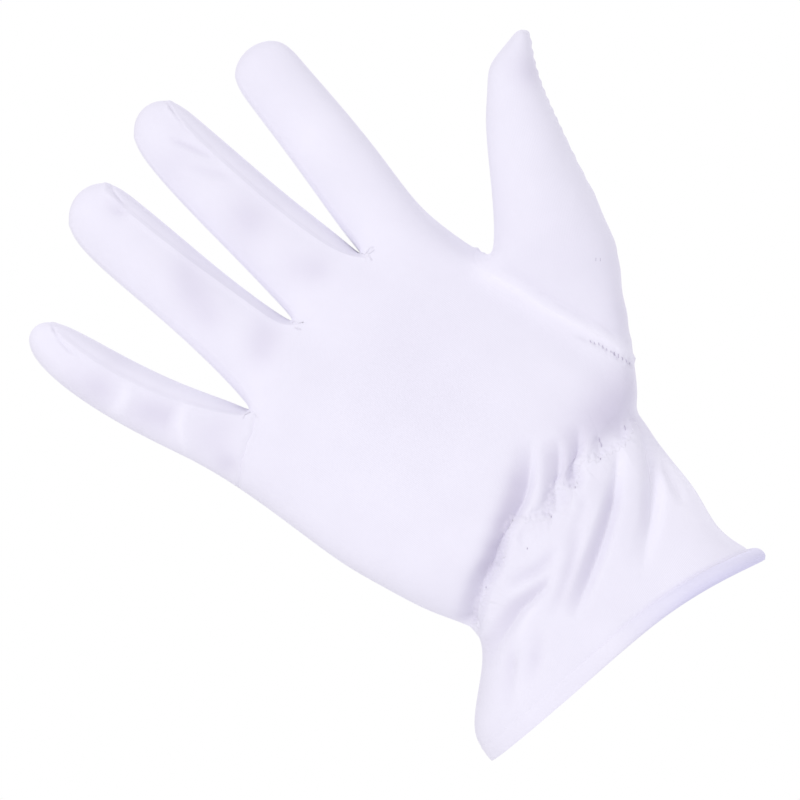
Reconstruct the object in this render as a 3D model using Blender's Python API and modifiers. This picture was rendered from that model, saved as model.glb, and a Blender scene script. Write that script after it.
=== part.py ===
"""A thin knitted cotton inspection glove, right-handed, with its fingers spread as they are when worn.

The glove stands fingers up: +Z runs to the fingertips, +X to the thumb, and the palm faces -Y.
The origin is the middle of the wrist, where the gathered elastic grips it.
One coarse cage is smoothed into the whole cloth surface. The cloth is then cut along its sewing seams
into the panels that the glove is sewn from, and each panel is given its thickness.
"""

import math
from collections import namedtuple

import bmesh
import bpy
from mathutils import Vector

MM = 0.001

# Cloth
CLOTH = 1.0 * MM  # thickness of the knitted cloth
SEAM = 0.3 * MM  # gap between two panels along a seam
HEM_STEP = 0.5 * MM  # how far the doubled hem stands proud of the cloth, outside and in

# Fingers, from the line of their roots to the tips
LITTLE_LENGTH = 71.0 * MM
LITTLE_WIDTH = 18.0 * MM
LITTLE_DEPTH = 15.5 * MM
RING_LENGTH = 76.0 * MM
RING_WIDTH = 21.0 * MM
RING_DEPTH = 17.5 * MM
MIDDLE_LENGTH = 75.5 * MM
MIDDLE_WIDTH = 22.4 * MM
MIDDLE_DEPTH = 18.0 * MM
INDEX_LENGTH = 69.5 * MM
INDEX_WIDTH = 20.6 * MM
INDEX_DEPTH = 17.5 * MM

# Palm, from the wrist line up to the finger roots
PALM_LENGTH = 94.0 * MM
PALM_WIDTH = 95.0 * MM
PALM_DEPTH = 30.0 * MM

# Wrist and cuff
WRIST_WIDTH = 77.0 * MM
WRIST_DEPTH = 35.0 * MM
CUFF_LENGTH = 42.0 * MM
CUFF_WIDTH = 96.0 * MM
CUFF_DEPTH = 46.0 * MM

# Folds and gathers
FOLD_WIDTH = 3.3 * MM  # from the middle of a fold to where it has mostly faded
FOLD_DEPTH = 2.6 * MM
GATHER_DEPTH = 0.9 * MM  # of the small puckers along the elastic
GATHER_REACH = 6.0 * MM  # how far they run out above and below it
GATHER_COUNT = 17
GRIP_DEPTH = 1.0 * MM  # of the groove that the elastic pulls

# Thumb, measured along its own curved line
THUMB_LENGTH = 79.0 * MM
THUMB_WIDTH = 27.0 * MM
THUMB_DEPTH = 22.0 * MM

# A control ring of a smoothed cage lies outside the surface that it makes by this much.
RING_OF_8 = 3 / (2 + math.cos(math.tau / 8))
RING_OF_10 = 3 / (2 + math.cos(math.tau / 10))

# Each finger section: place along the finger as a share of its length, width and depth as shares of the
# finger's, shift to the thumb side as a share of its length, turn about the finger's own line in degrees,
# and half the angle that a side strip takes up, in degrees. A finger's curl is a share of its length.
Section = namedtuple("Section", "along width depth aside turn fork")
Finger = namedtuple("Finger", "name length width depth lean curl sections")

FINGERS = (
    Finger("little", LITTLE_LENGTH, LITTLE_WIDTH, LITTLE_DEPTH, -16.4, 0.085, (
        Section(0.12, 1.10, 1.08, -0.014, 12, 36),
        Section(0.34, 1.02, 1.02, -0.044, 26, 38),
        Section(0.58, 0.96, 0.96, -0.056, 30, 38),
        Section(0.80, 0.88, 0.88, -0.046, 30, 34),
        Section(0.95, 0.64, 0.70, -0.028, 22, 14),
    )),
    Finger("ring", RING_LENGTH, RING_WIDTH, RING_DEPTH, -3.8, 0.080, (
        Section(0.12, 1.10, 1.06, -0.002, 0, 34),
        Section(0.34, 1.00, 1.00, -0.010, 2, 34),
        Section(0.58, 1.00, 0.95, -0.018, 12, 34),
        Section(0.81, 0.99, 0.88, -0.026, 18, 32),
        Section(0.95, 0.82, 0.68, -0.018, 14, 12),
    )),
    Finger("middle", MIDDLE_LENGTH, MIDDLE_WIDTH, MIDDLE_DEPTH, -1.4, 0.067, (
        Section(0.12, 1.12, 1.06, -0.002, 14, 34),
        Section(0.34, 1.01, 1.00, -0.013, 18, 34),
        Section(0.58, 0.95, 0.95, -0.020, 20, 34),
        Section(0.81, 0.86, 0.88, -0.022, 22, 32),
        Section(0.95, 0.70, 0.66, -0.014, 14, 12),
    )),
    Finger("index", INDEX_LENGTH, INDEX_WIDTH, INDEX_DEPTH, 5.9, 0.058, (
        Section(0.12, 1.02, 1.06, 0.002, 8, 36),
        Section(0.34, 1.02, 1.00, 0.012, 12, 36),
        Section(0.58, 0.97, 0.95, 0.014, 14, 36),
        Section(0.81, 0.91, 0.90, 0.008, 14, 34),
        Section(0.95, 0.84, 0.68, 0.008, 10, 12),
    )),
)

# The line of the finger roots across the palm: place across as a share of the palm's width,
# height as a share of its length, and depth from the glove's middle plane as a share of its depth.
Root = namedtuple("Root", "across up depth")
ROOTS = (
    Root(-0.612, 0.762, 0.24),
    Root(-0.543, 0.830, 0.38),
    Root(-0.437, 0.888, 0.28),
    Root(-0.300, 0.962, 0.42),
    Root(-0.156, 1.000, 0.30),
    Root(-0.010, 1.016, 0.44),
    Root(0.132, 0.995, 0.30),
    Root(0.248, 0.978, 0.43),
    Root(0.345, 0.945, 0.26),
)
ROOT_OUTER = Root(-0.640, 0.750, 0.0)
ROOT_INNER = Root(0.365, 0.935, 0.0)
CROTCH_DROP = 0.032  # how far a crotch dips between front and back, as a share of the palm's length

# Rings round the palm below the finger roots: height at the little finger's side and at the thumb's side,
# reach to either side, place of the thumb's seam from the middle (0) to the thumb side (1), then the depth
# of the front at the heel, in the middle and at the ball of the thumb, and of the back.
PalmRow = namedtuple("PalmRow", "up_outer up_thumb outer thumb seam heel hollow ball back")
PALM_ROWS = (
    PalmRow(0.630, 0.745, -0.615, 0.420, 0.850, 0.46, 0.44, 0.48, 0.46),
    PalmRow(0.480, 0.560, -0.592, 0.435, 0.905, 0.54, 0.46, 0.60, 0.52),
    PalmRow(0.340, 0.340, -0.568, 0.470, 0.950, 0.62, 0.52, 0.70, 0.58),
    PalmRow(0.220, 0.130, -0.530, 0.475, 0.950, 0.70, 0.60, 0.74, 0.64),
    PalmRow(0.060, 0.090, -0.482, 0.430, 0.950, 0.72, 0.66, 0.76, 0.66),
)
THUMB_HOLE = range(1, 4)  # the gaps between these rings and the next ones are open on the thumb side

# Rings round the wrist and cuff, from the elastic down: heights as shares of the cuff's length at the outer
# side, the middle and the thumb side, side reaches as shares of the cuff's width, depths as shares of its depth.
CuffRow = namedtuple("CuffRow", "down_outer down_middle down_thumb outer thumb front back")
CUFF_ROWS = (
    CuffRow(0.330, 0.180, 0.240, -0.445, 0.375, 0.455, 0.455),
    CuffRow(0.470, 0.450, 0.530, -0.532, 0.372, 0.475, 0.475),
    CuffRow(0.640, 0.690, 0.810, -0.632, 0.328, 0.490, 0.490),
    CuffRow(0.765, 0.815, 1.050, -0.650, 0.353, 0.495, 0.495),
    CuffRow(0.885, 0.935, 1.205, -0.657, 0.376, 0.500, 0.500),
)
WRIST_RISE = 0.060  # height of the elastic over the middle of the wrist, as a share of the palm's length
WRIST_DIP = 0.135  # how far it drops towards the outer side

# Folds of the cloth: side of the glove (-1 front, 1 back), then both ends as shares of the wrist's width and
# of the cuff's length, then width and depth as shares of a fold's. A negative depth makes a ridge.
Fold = namedtuple("Fold", "side across_from up_from across_to up_to width depth")
FOLDS = (
    Fold(-1, -0.56, -0.12, 0.10, 0.60, 1.20, 1.75),
    Fold(-1, -0.04, 0.14, 0.21, 0.52, 1.00, 0.75),
    Fold(-1, 0.10, 0.14, 0.27, 0.42, 1.00, 0.60),
    Fold(-1, 0.36, 0.22, 0.46, 0.38, 1.60, 0.60),
    Fold(-1, 0.31, 0.05, 0.00, -0.29, 1.00, 0.90),
    Fold(-1, 0.00, -0.29, -0.26, -0.50, 1.00, 0.90),
    Fold(-1, 0.48, 0.04, 0.26, -0.33, 1.10, 1.00),
    Fold(-1, 0.26, -0.33, 0.07, -0.60, 1.00, 0.80),
    Fold(-1, 0.45, -0.21, 0.36, -0.50, 0.85, 0.60),
    Fold(-1, -0.13, -0.19, -0.58, -0.40, 1.20, 0.60),
    Fold(-1, -0.13, -0.08, -0.39, -0.10, 0.90, 0.50),
    Fold(-1, 0.14, -0.04, -0.10, -0.20, 0.80, 0.50),
    Fold(1, -0.50, 0.00, -0.10, 0.40, 1.30, 1.00),
    Fold(1, 0.05, 0.16, 0.24, 0.48, 1.10, 0.60),
    Fold(1, 0.44, 0.10, 0.30, -0.34, 1.10, 0.90),
    Fold(1, 0.20, 0.02, -0.02, -0.36, 1.00, 0.80),
    Fold(1, -0.06, -0.06, -0.36, -0.48, 1.10, 0.90),
    Fold(1, -0.34, -0.12, -0.58, -0.42, 1.10, 0.60),
)

ThumbSection = namedtuple("ThumbSection", "step heading width depth forward")
THUMB_SECTIONS = (
    ThumbSection(0.205, 62, 1.28, 1.34, 0.10),
    ThumbSection(0.205, 63, 0.98, 1.06, 0.13),
    ThumbSection(0.180, 62, 0.81, 0.90, 0.15),
    ThumbSection(0.155, 60, 0.63, 0.76, 0.16),
    ThumbSection(0.130, 46, 0.42, 0.54, 0.17),
    ThumbSection(0.120, 30, 0.20, 0.36, 0.17),
)
THUMB_ROOT = (0.500, 0.475)  # across and up, as shares of the palm's width and length

PALM, BACK, LITTLE, RING, MIDDLE, FORK_LITTLE, FORK_RING, FORK_MIDDLE, THUMB, HEM = range(10)
PANEL_NAMES = (
    "palm",
    "back",
    "little_front",
    "ring_front",
    "middle_front",
    "fork_ring_little",
    "fork_middle_ring",
    "fork_index_middle",
    "thumb",
    "cuff_hem",
)
FINGER_FRONTS = (LITTLE, RING, MIDDLE, PALM)

FRONT_COUNT = 9
THUMB_SIDE = FRONT_COUNT
OUTER_SIDE = 2 * FRONT_COUNT + 1
RING_COUNT = 2 * FRONT_COUNT + 2


def between(low, high, share):
    return low + (high - low) * share


def through(outer, middle, thumb, across):
    """The smooth curve through three values at across -1, 0 and 1."""
    return middle + (thumb - outer) / 2 * across + (outer + thumb - 2 * middle) / 2 * across**2


def drop(outer, middle, thumb, across):
    """A line that is straight towards the outer side and bends away towards the thumb side."""
    return middle + (outer - middle) * max(0.0, -across) + (thumb - middle) * max(0.0, across) ** 2


def front_across():
    """Where the front columns of a round section stand, from -1 at the outer side to 1 at the thumb side."""
    step = math.pi / (FRONT_COUNT + 1)
    return [-math.cos(step * (k + 1)) for k in range(FRONT_COUNT)]


def superellipse(across, power):
    return max(0.0, 1 - abs(across) ** power) ** (1 / power)


def ring(left, right, rows_across, height_at, front_at, back, power):
    """One control ring: front columns from the outer side to the thumb side, that side, the back, the outer side."""
    middle, half = (left + right) / 2, (right - left) / 2

    def point(across, y):
        return Vector((middle + half * across, y, height_at(across)))

    front = [point(a, -front_at(a) * superellipse(a, power)) for a in rows_across]
    rear = [point(a, back * superellipse(a, power)) for a in reversed(rows_across)]
    return [*front, point(1.0, 0.0), *rear, point(-1.0, 0.0)]


def root_point(root, side):
    depth = side * root.depth * PALM_DEPTH
    return Vector((root.across * PALM_WIDTH, depth, root.up * PALM_LENGTH))


def root_ring():
    front = [root_point(r, -1) for r in ROOTS]
    rear = [root_point(r, 1) for r in reversed(ROOTS)]
    return [*front, root_point(ROOT_INNER, 0), *rear, root_point(ROOT_OUTER, 0)]


def palm_ring(row, share):
    """share runs from 0 at the wrist to 1 at the finger roots."""
    left, right = row.outer * PALM_WIDTH, row.thumb * PALM_WIDTH
    low = ROOTS[0].across
    high = ROOTS[-1].across
    spread = [2 * (r.across - low) / (high - low) - 1 for r in ROOTS]
    columns = [between(a, 0.955 * b, share) for a, b in zip(front_across(), spread)]
    columns[-1] = row.seam
    return ring(
        left,
        right,
        columns,
        lambda a: between(row.up_outer, row.up_thumb, (a + 1) / 2) * PALM_LENGTH,
        lambda a: through(row.heel, row.hollow, row.ball, a) * PALM_DEPTH,
        row.back * PALM_DEPTH,
        between(2.2, 3.2, share),
    )


def wrist_height(across):
    return (WRIST_RISE - WRIST_DIP * min(1.0, max(0.0, -across)) ** 2) * PALM_LENGTH


def wrist_ring():
    half = WRIST_WIDTH / 2
    depth = WRIST_DEPTH / 2
    return ring(-half, half, front_across(), wrist_height, lambda a: depth, depth, 2.2)


def cuff_ring(row):
    return ring(
        row.outer * CUFF_WIDTH,
        row.thumb * CUFF_WIDTH,
        front_across(),
        lambda a: -drop(row.down_outer, row.down_middle, row.down_thumb, a) * CUFF_LENGTH,
        lambda a: row.front * CUFF_DEPTH,
        row.back * CUFF_DEPTH,
        2.2,
    )


def finger_ring(finger, root, section):
    lean = math.radians(finger.lean)
    along = Vector((math.sin(lean), 0, math.cos(lean)))
    side = Vector((math.cos(lean), 0, -math.sin(lean)))
    front = Vector((0, -1, 0))
    centre = root + finger.length * (section.along * along + section.aside * side)
    centre += finger.curl * finger.length * section.along**2 * front
    half_width = finger.width * section.width / 2 * RING_OF_8
    half_depth = finger.depth * section.depth / 2 * RING_OF_8
    angles = (180 - section.fork, 90, section.fork, 0, -section.fork, -90, 180 + section.fork, 180)
    points = []
    for angle in angles:
        a = math.radians(angle + section.turn)
        points.append(centre + half_width * math.cos(a) * side + half_depth * math.sin(a) * front)
    return points, centre + along * finger.length * (1.02 - section.along) * 1.3


def thumb_rings():
    centre = Vector((THUMB_ROOT[0] * PALM_WIDTH, 0, THUMB_ROOT[1] * PALM_LENGTH))
    rings = []
    for section in THUMB_SECTIONS:
        heading = math.radians(section.heading)
        along = Vector((math.cos(heading), 0, math.sin(heading)))
        web = Vector((-math.sin(heading), 0, math.cos(heading)))
        centre = centre + along * section.step * THUMB_LENGTH
        half_width = THUMB_WIDTH * section.width / 2 * RING_OF_10
        half_depth = THUMB_DEPTH * section.depth / 2 * RING_OF_10
        middle = centre + Vector((0, -section.forward * THUMB_LENGTH, 0))
        points = []
        for k in range(10):
            a = math.tau * (k + 1) / 10
            points.append(middle + half_width * math.cos(a) * web - Vector((0, half_depth * math.sin(a), 0)))
        rings.append(points)
    return rings


def add_ring(bm, points):
    return [bm.verts.new(p) for p in points]


def add_face(bm, corners, panel):
    face = bm.faces.new(corners)
    face.material_index = panel


def skin(bm, lower, upper, panels, skipped=()):
    """Quads between two rings with the same count. panels names the panel of each column."""
    count = len(lower)
    for k in range(count):
        if k not in skipped:
            n = (k + 1) % count
            add_face(bm, (lower[k], lower[n], upper[n], upper[k]), panels[k])


def cage_mesh():
    bm = bmesh.new()
    body_panels = [PALM] * THUMB_SIDE + [BACK] * (FRONT_COUNT + 1) + [PALM]
    roots = add_ring(bm, root_ring())
    rows = [roots]
    for n, row in enumerate(PALM_ROWS):
        rows.append(add_ring(bm, palm_ring(row, 1 - (n + 1) / (len(PALM_ROWS) + 1))))
    rows.append(add_ring(bm, wrist_ring()))
    for n, (upper, lower) in enumerate(zip(rows, rows[1:])):
        open_side = (THUMB_SIDE - 1, THUMB_SIDE) if n in THUMB_HOLE else ()
        skin(bm, lower, upper, body_panels, open_side)
    cuff = [rows[-1]] + [add_ring(bm, cuff_ring(row)) for row in CUFF_ROWS]
    for upper, lower in zip(cuff, cuff[1:-1]):
        skin(bm, lower, upper, body_panels)
    skin(bm, cuff[-1], cuff[-2], [HEM] * RING_COUNT)
    add_fingers(bm, roots)
    add_thumb(bm, rows)
    for vert in [v for v in bm.verts if not v.link_faces]:
        bm.verts.remove(vert)
    bmesh.ops.recalc_face_normals(bm, faces=bm.faces)
    mesh = bpy.data.meshes.new("glove_cage")
    bm.to_mesh(mesh)
    bm.free()
    return mesh


def add_fingers(bm, roots):
    crotches = [roots[OUTER_SIDE]]
    for k in (2, 4, 6):
        point = (roots[k].co + roots[2 * FRONT_COUNT - k].co) / 2
        crotches.append(bm.verts.new(point - Vector((0, 0, CROTCH_DROP * PALM_LENGTH))))
    crotches.append(roots[THUMB_SIDE])
    forks = (None, FORK_LITTLE, FORK_RING, FORK_MIDDLE, None)
    for f, finger in enumerate(FINGERS):
        left, right = 2 * f, 2 * f + 2
        rear = 2 * FRONT_COUNT
        base = [roots[left], roots[left + 1], roots[right], crotches[f + 1]]
        base += [roots[rear - right], roots[rear - left - 1], roots[rear - left], crotches[f]]
        front = FINGER_FRONTS[f]
        inner = forks[f + 1]
        outer = forks[f]
        panels = [front, front, front if inner is None else inner, BACK if inner is None else inner]
        panels += [BACK, BACK, BACK if outer is None else outer, front if outer is None else outer]
        root = (roots[left].co + roots[right].co + roots[rear - left].co + roots[rear - right].co) / 4
        for section in finger.sections:
            points, tip = finger_ring(finger, root, section)
            upper = add_ring(bm, points)
            skin(bm, base, upper, panels)
            base = upper
        middle = bm.verts.new(tip)
        add_face(bm, (base[0], base[1], middle, base[7]), front)
        add_face(bm, (base[1], base[2], base[3], middle), front)
        add_face(bm, (middle, base[3], base[4], base[5]), BACK)
        add_face(bm, (base[7], middle, base[5], base[6]), BACK)


def add_thumb(bm, rows):
    near, far = THUMB_SIDE - 1, THUMB_SIDE + 1
    base = [rows[n][near] for n in (1, 2, 3, 4)] + [rows[4][THUMB_SIDE]]
    base += [rows[n][far] for n in (4, 3, 2, 1)] + [rows[1][THUMB_SIDE]]
    panels = [THUMB] * 10
    for points in thumb_rings():
        upper = add_ring(bm, points)
        skin(bm, base, upper, panels)
        base = upper
    for a, b, c, d in ((0, 1, 7, 8), (1, 2, 6, 7), (2, 3, 5, 6)):
        add_face(bm, (base[a], base[b], base[c], base[d]), THUMB)
    add_face(bm, (base[9], base[0], base[8]), THUMB)
    add_face(bm, (base[3], base[4], base[5]), THUMB)


def smooth_cloth(guides):
    cage = bpy.data.objects.new("glove_cage", cage_mesh())
    guides.objects.link(cage)
    cage.hide_render = True
    cage.display_type = "WIRE"
    smooth = cage.modifiers.new("smooth", "SUBSURF")
    smooth.levels = smooth.render_levels = 1
    graph = bpy.context.evaluated_depsgraph_get()
    mesh = bpy.data.meshes.new_from_object(cage.evaluated_get(graph))
    bm = bmesh.new()
    bm.from_mesh(mesh)
    bpy.data.meshes.remove(mesh)
    return bm


def refine_cuff(bm):
    """Halves the columns of the wrist and cuff, so that they can take the folds."""
    top = PALM_ROWS[-2]
    around = set()
    for face in bm.faces:
        centre = face.calc_center_median()
        share = min(1.0, max(0.0, (centre.x / PALM_WIDTH - top.outer) / (top.thumb - top.outer)))
        below = centre.z < between(top.up_outer, top.up_thumb, share) * PALM_LENGTH
        if below and face.material_index != THUMB:
            edges = list(face.edges)
            first = sum(abs(e.verts[0].co.z - e.verts[1].co.z) for e in edges[0::2])
            second = sum(abs(e.verts[0].co.z - e.verts[1].co.z) for e in edges[1::2])
            around.update(edges[0::2] if first < second else edges[1::2])
    bmesh.ops.subdivide_edges(bm, edges=list(around), cuts=1, use_grid_fill=True, smooth=1.0)


def fold_depth(point, side):
    """How far the folds on one side draw the cloth in at a point."""
    total = 0.0
    for fold in FOLDS:
        if fold.side != side:
            continue
        start = Vector((fold.across_from * WRIST_WIDTH, fold.up_from * CUFF_LENGTH))
        end = Vector((fold.across_to * WRIST_WIDTH, fold.up_to * CUFF_LENGTH))
        run = end - start
        here = Vector((point.x, point.z)) - start
        place = here.dot(run) / run.length_squared
        away = abs(here.cross(run)) / run.length / (fold.width * FOLD_WIDTH)
        beyond = max(0.0, -place, place - 1) * run.length / (fold.width * FOLD_WIDTH)
        fade = math.exp(-(beyond**2)) * (1 - 0.5 * min(1.0, abs(2 * place - 1)) ** 4)
        valley = math.exp(-(away**2)) - 0.25 * math.exp(-((away - 2) ** 2))
        total += fold.depth * FOLD_DEPTH * fade * valley
    return total


def lay_folds(bm):
    bm.normal_update()
    moves = []
    for vert in bm.verts:
        x, y, z = vert.co
        front = min(1.0, abs(y) / (0.12 * WRIST_DEPTH))
        depth = front * fold_depth(vert.co, -1 if y < 0 else 1)
        across = min(1.0, max(-1.0, 2 * x / WRIST_WIDTH))
        above = (z - wrist_height(across)) / GATHER_REACH
        turn = math.atan2(-y, x * WRIST_DEPTH / WRIST_WIDTH)
        gather = math.cos(GATHER_COUNT * turn + 0.8 * math.sin(3 * turn))
        depth += GRIP_DEPTH * math.exp(-((2 * above) ** 2)) + GATHER_DEPTH * gather * math.exp(-(above**2))
        moves.append((vert, -depth * vert.normal))
    for vert, move in moves:
        vert.co += move


def draw_back(bm, distance):
    """Moves the edge of an open sheet inwards, within the sheet."""
    moves = {}
    for vert in bm.verts:
        shift = Vector()
        for edge in vert.link_edges:
            if edge.is_boundary:
                face = edge.link_faces[0]
                along = edge.verts[1].co - edge.verts[0].co
                inward = face.normal.cross(along).normalized()
                if inward.dot(face.calc_center_median() - edge.verts[0].co) < 0:
                    inward = -inward
                shift += inward
        if shift.length > 0:
            moves[vert] = shift.normalized() * distance / max(0.5, shift.length / 2)
    for vert, move in moves.items():
        vert.co += move


def panel_object(name, cloth, panel, parts, parent):
    bm = cloth.copy()
    others = [f for f in bm.faces if f.material_index != panel]
    bmesh.ops.delete(bm, geom=others, context="FACES")
    outward = bm.verts.layers.float_vector["outward"]
    draw_back(bm, SEAM / 2)
    proud = HEM_STEP if panel == HEM else 0.0
    for vert in bm.verts:
        vert.co += vert[outward] * proud
    sheet = list(bm.faces)
    made = bmesh.ops.extrude_face_region(bm, geom=sheet, use_keep_orig=True)
    for item in made["geom"]:
        if isinstance(item, bmesh.types.BMVert):
            item.co -= item[outward] * (CLOTH + 2 * proud)
    bmesh.ops.triangulate(bm, faces=bm.faces, quad_method="SHORT_EDGE")
    bmesh.ops.recalc_face_normals(bm, faces=bm.faces)
    mesh = bpy.data.meshes.new(name)
    bm.to_mesh(mesh)
    bm.free()
    mesh.materials.clear()
    mesh.materials.append(cotton(name))
    for polygon in mesh.polygons:
        polygon.material_index = 0
    mesh.shade_smooth()
    mesh.set_sharp_from_angle(angle=math.radians(50))
    obj = bpy.data.objects.new(name, mesh)
    parts.objects.link(obj)
    obj.parent = parent
    return obj


def cotton(name):
    material = bpy.data.materials.new("cotton_" + name)
    material.use_nodes = True
    shader = material.node_tree.nodes["Principled BSDF"]
    shader.inputs["Base Color"].default_value = (0.88, 0.87, 0.92, 1)
    shader.inputs["Roughness"].default_value = 0.9
    shader.inputs["Metallic"].default_value = 0.0
    return material


def main():
    for obj in list(bpy.data.objects):
        bpy.data.objects.remove(obj)
    parts = bpy.data.collections.new("cotton_inspection_glove")
    guides = bpy.data.collections.new("guides")
    for collection in (parts, guides):
        bpy.context.scene.collection.children.link(collection)
    glove = bpy.data.objects.new("glove", None)
    parts.objects.link(glove)
    cloth = smooth_cloth(guides)
    refine_cuff(cloth)
    lay_folds(cloth)
    bmesh.ops.triangulate(cloth, faces=cloth.faces, quad_method="SHORT_EDGE")
    cloth.normal_update()
    outward = cloth.verts.layers.float_vector.new("outward")
    for vert in cloth.verts:
        vert[outward] = vert.normal
    for panel, name in enumerate(PANEL_NAMES):
        panel_object(name, cloth, panel, parts, glove)
    cloth.free()


main()
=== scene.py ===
"""The looks of a thin knitted cotton glove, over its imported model, with its light and its camera.

The cloth comes from the same tables as the solids: one coarse cage is smoothed into the whole surface,
folded, and cut along its seams into panels. It is smoothed further here than in the solids, and it takes
the puckers, raised seams, stitches and knit that are too fine for them.
"""

import math
from collections import namedtuple

import bmesh
import bpy
import numpy as np
from mathutils import Matrix, Vector
from mathutils.bvhtree import BVHTree
from mathutils.kdtree import KDTree


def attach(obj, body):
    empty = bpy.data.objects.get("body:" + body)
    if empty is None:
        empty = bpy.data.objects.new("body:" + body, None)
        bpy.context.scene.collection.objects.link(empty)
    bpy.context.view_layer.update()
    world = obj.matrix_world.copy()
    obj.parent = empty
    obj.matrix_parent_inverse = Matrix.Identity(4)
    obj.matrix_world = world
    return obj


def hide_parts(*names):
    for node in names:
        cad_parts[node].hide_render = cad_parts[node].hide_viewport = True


MM = 0.001

# Fingers, from the line of their roots to the tips
LITTLE_LENGTH = 71.0 * MM
LITTLE_WIDTH = 18.0 * MM
LITTLE_DEPTH = 15.5 * MM
RING_LENGTH = 76.0 * MM
RING_WIDTH = 21.0 * MM
RING_DEPTH = 17.5 * MM
MIDDLE_LENGTH = 75.5 * MM
MIDDLE_WIDTH = 22.4 * MM
MIDDLE_DEPTH = 18.0 * MM
INDEX_LENGTH = 69.5 * MM
INDEX_WIDTH = 20.6 * MM
INDEX_DEPTH = 17.5 * MM

# Palm, from the wrist line up to the finger roots
PALM_LENGTH = 94.0 * MM
PALM_WIDTH = 95.0 * MM
PALM_DEPTH = 30.0 * MM

# Wrist and cuff
WRIST_WIDTH = 77.0 * MM
WRIST_DEPTH = 35.0 * MM
CUFF_LENGTH = 42.0 * MM
CUFF_WIDTH = 96.0 * MM
CUFF_DEPTH = 46.0 * MM

# Gathers
GATHER_REACH = 6.0 * MM  # how far the gathers run out above and below the elastic
GRIP_DEPTH = 1.0 * MM  # of the groove that the elastic pulls

# Thumb, measured along its own curved line
THUMB_LENGTH = 79.0 * MM
THUMB_WIDTH = 27.0 * MM
THUMB_DEPTH = 22.0 * MM

# A control ring of a smoothed cage lies outside the surface that it makes by this much.
RING_OF_8 = 3 / (2 + math.cos(math.tau / 8))
RING_OF_10 = 3 / (2 + math.cos(math.tau / 10))

# Each finger section: place along the finger as a share of its length, width and depth as shares of the
# finger's, shift to the thumb side as a share of its length, turn about the finger's own line in degrees,
# and half the angle that a side strip takes up, in degrees. A finger's curl is a share of its length.
Section = namedtuple("Section", "along width depth aside turn fork")
Finger = namedtuple("Finger", "name length width depth lean curl sections")

FINGERS = (
    Finger("little", LITTLE_LENGTH, LITTLE_WIDTH, LITTLE_DEPTH, -16.4, 0.085, (
        Section(0.12, 1.10, 1.08, -0.014, 12, 36),
        Section(0.34, 1.02, 1.02, -0.044, 26, 38),
        Section(0.58, 0.96, 0.96, -0.056, 30, 38),
        Section(0.80, 0.88, 0.88, -0.046, 30, 34),
        Section(0.95, 0.64, 0.70, -0.028, 22, 14),
    )),
    Finger("ring", RING_LENGTH, RING_WIDTH, RING_DEPTH, -3.8, 0.080, (
        Section(0.12, 1.10, 1.06, -0.002, 0, 34),
        Section(0.34, 1.00, 1.00, -0.010, 2, 34),
        Section(0.58, 1.00, 0.95, -0.018, 12, 34),
        Section(0.81, 0.99, 0.88, -0.026, 18, 32),
        Section(0.95, 0.82, 0.68, -0.018, 14, 12),
    )),
    Finger("middle", MIDDLE_LENGTH, MIDDLE_WIDTH, MIDDLE_DEPTH, -1.4, 0.067, (
        Section(0.12, 1.12, 1.06, -0.002, 14, 34),
        Section(0.34, 1.01, 1.00, -0.013, 18, 34),
        Section(0.58, 0.95, 0.95, -0.020, 20, 34),
        Section(0.81, 0.86, 0.88, -0.022, 22, 32),
        Section(0.95, 0.70, 0.66, -0.014, 14, 12),
    )),
    Finger("index", INDEX_LENGTH, INDEX_WIDTH, INDEX_DEPTH, 5.9, 0.058, (
        Section(0.12, 1.02, 1.06, 0.002, 8, 36),
        Section(0.34, 1.02, 1.00, 0.012, 12, 36),
        Section(0.58, 0.97, 0.95, 0.014, 14, 36),
        Section(0.81, 0.91, 0.90, 0.008, 14, 34),
        Section(0.95, 0.84, 0.68, 0.008, 10, 12),
    )),
)

# The line of the finger roots across the palm: place across as a share of the palm's width,
# height as a share of its length, and depth from the glove's middle plane as a share of its depth.
Root = namedtuple("Root", "across up depth")
ROOTS = (
    Root(-0.612, 0.762, 0.24),
    Root(-0.543, 0.830, 0.38),
    Root(-0.437, 0.888, 0.28),
    Root(-0.300, 0.962, 0.42),
    Root(-0.156, 1.000, 0.30),
    Root(-0.010, 1.016, 0.44),
    Root(0.132, 0.995, 0.30),
    Root(0.248, 0.978, 0.43),
    Root(0.345, 0.945, 0.26),
)
ROOT_OUTER = Root(-0.640, 0.750, 0.0)
ROOT_INNER = Root(0.365, 0.935, 0.0)
CROTCH_DROP = 0.032  # how far a crotch dips between front and back, as a share of the palm's length

# Rings round the palm below the finger roots: height at the little finger's side and at the thumb's side,
# reach to either side, place of the thumb's seam from the middle (0) to the thumb side (1), then the depth
# of the front at the heel, in the middle and at the ball of the thumb, and of the back.
PalmRow = namedtuple("PalmRow", "up_outer up_thumb outer thumb seam heel hollow ball back")
PALM_ROWS = (
    PalmRow(0.630, 0.745, -0.615, 0.420, 0.850, 0.46, 0.44, 0.48, 0.46),
    PalmRow(0.480, 0.560, -0.592, 0.435, 0.905, 0.54, 0.46, 0.60, 0.52),
    PalmRow(0.340, 0.340, -0.568, 0.470, 0.950, 0.62, 0.52, 0.70, 0.58),
    PalmRow(0.220, 0.130, -0.530, 0.475, 0.950, 0.70, 0.60, 0.74, 0.64),
    PalmRow(0.060, 0.090, -0.482, 0.430, 0.950, 0.72, 0.66, 0.76, 0.66),
)
THUMB_HOLE = range(1, 4)  # the gaps between these rings and the next ones are open on the thumb side

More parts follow.
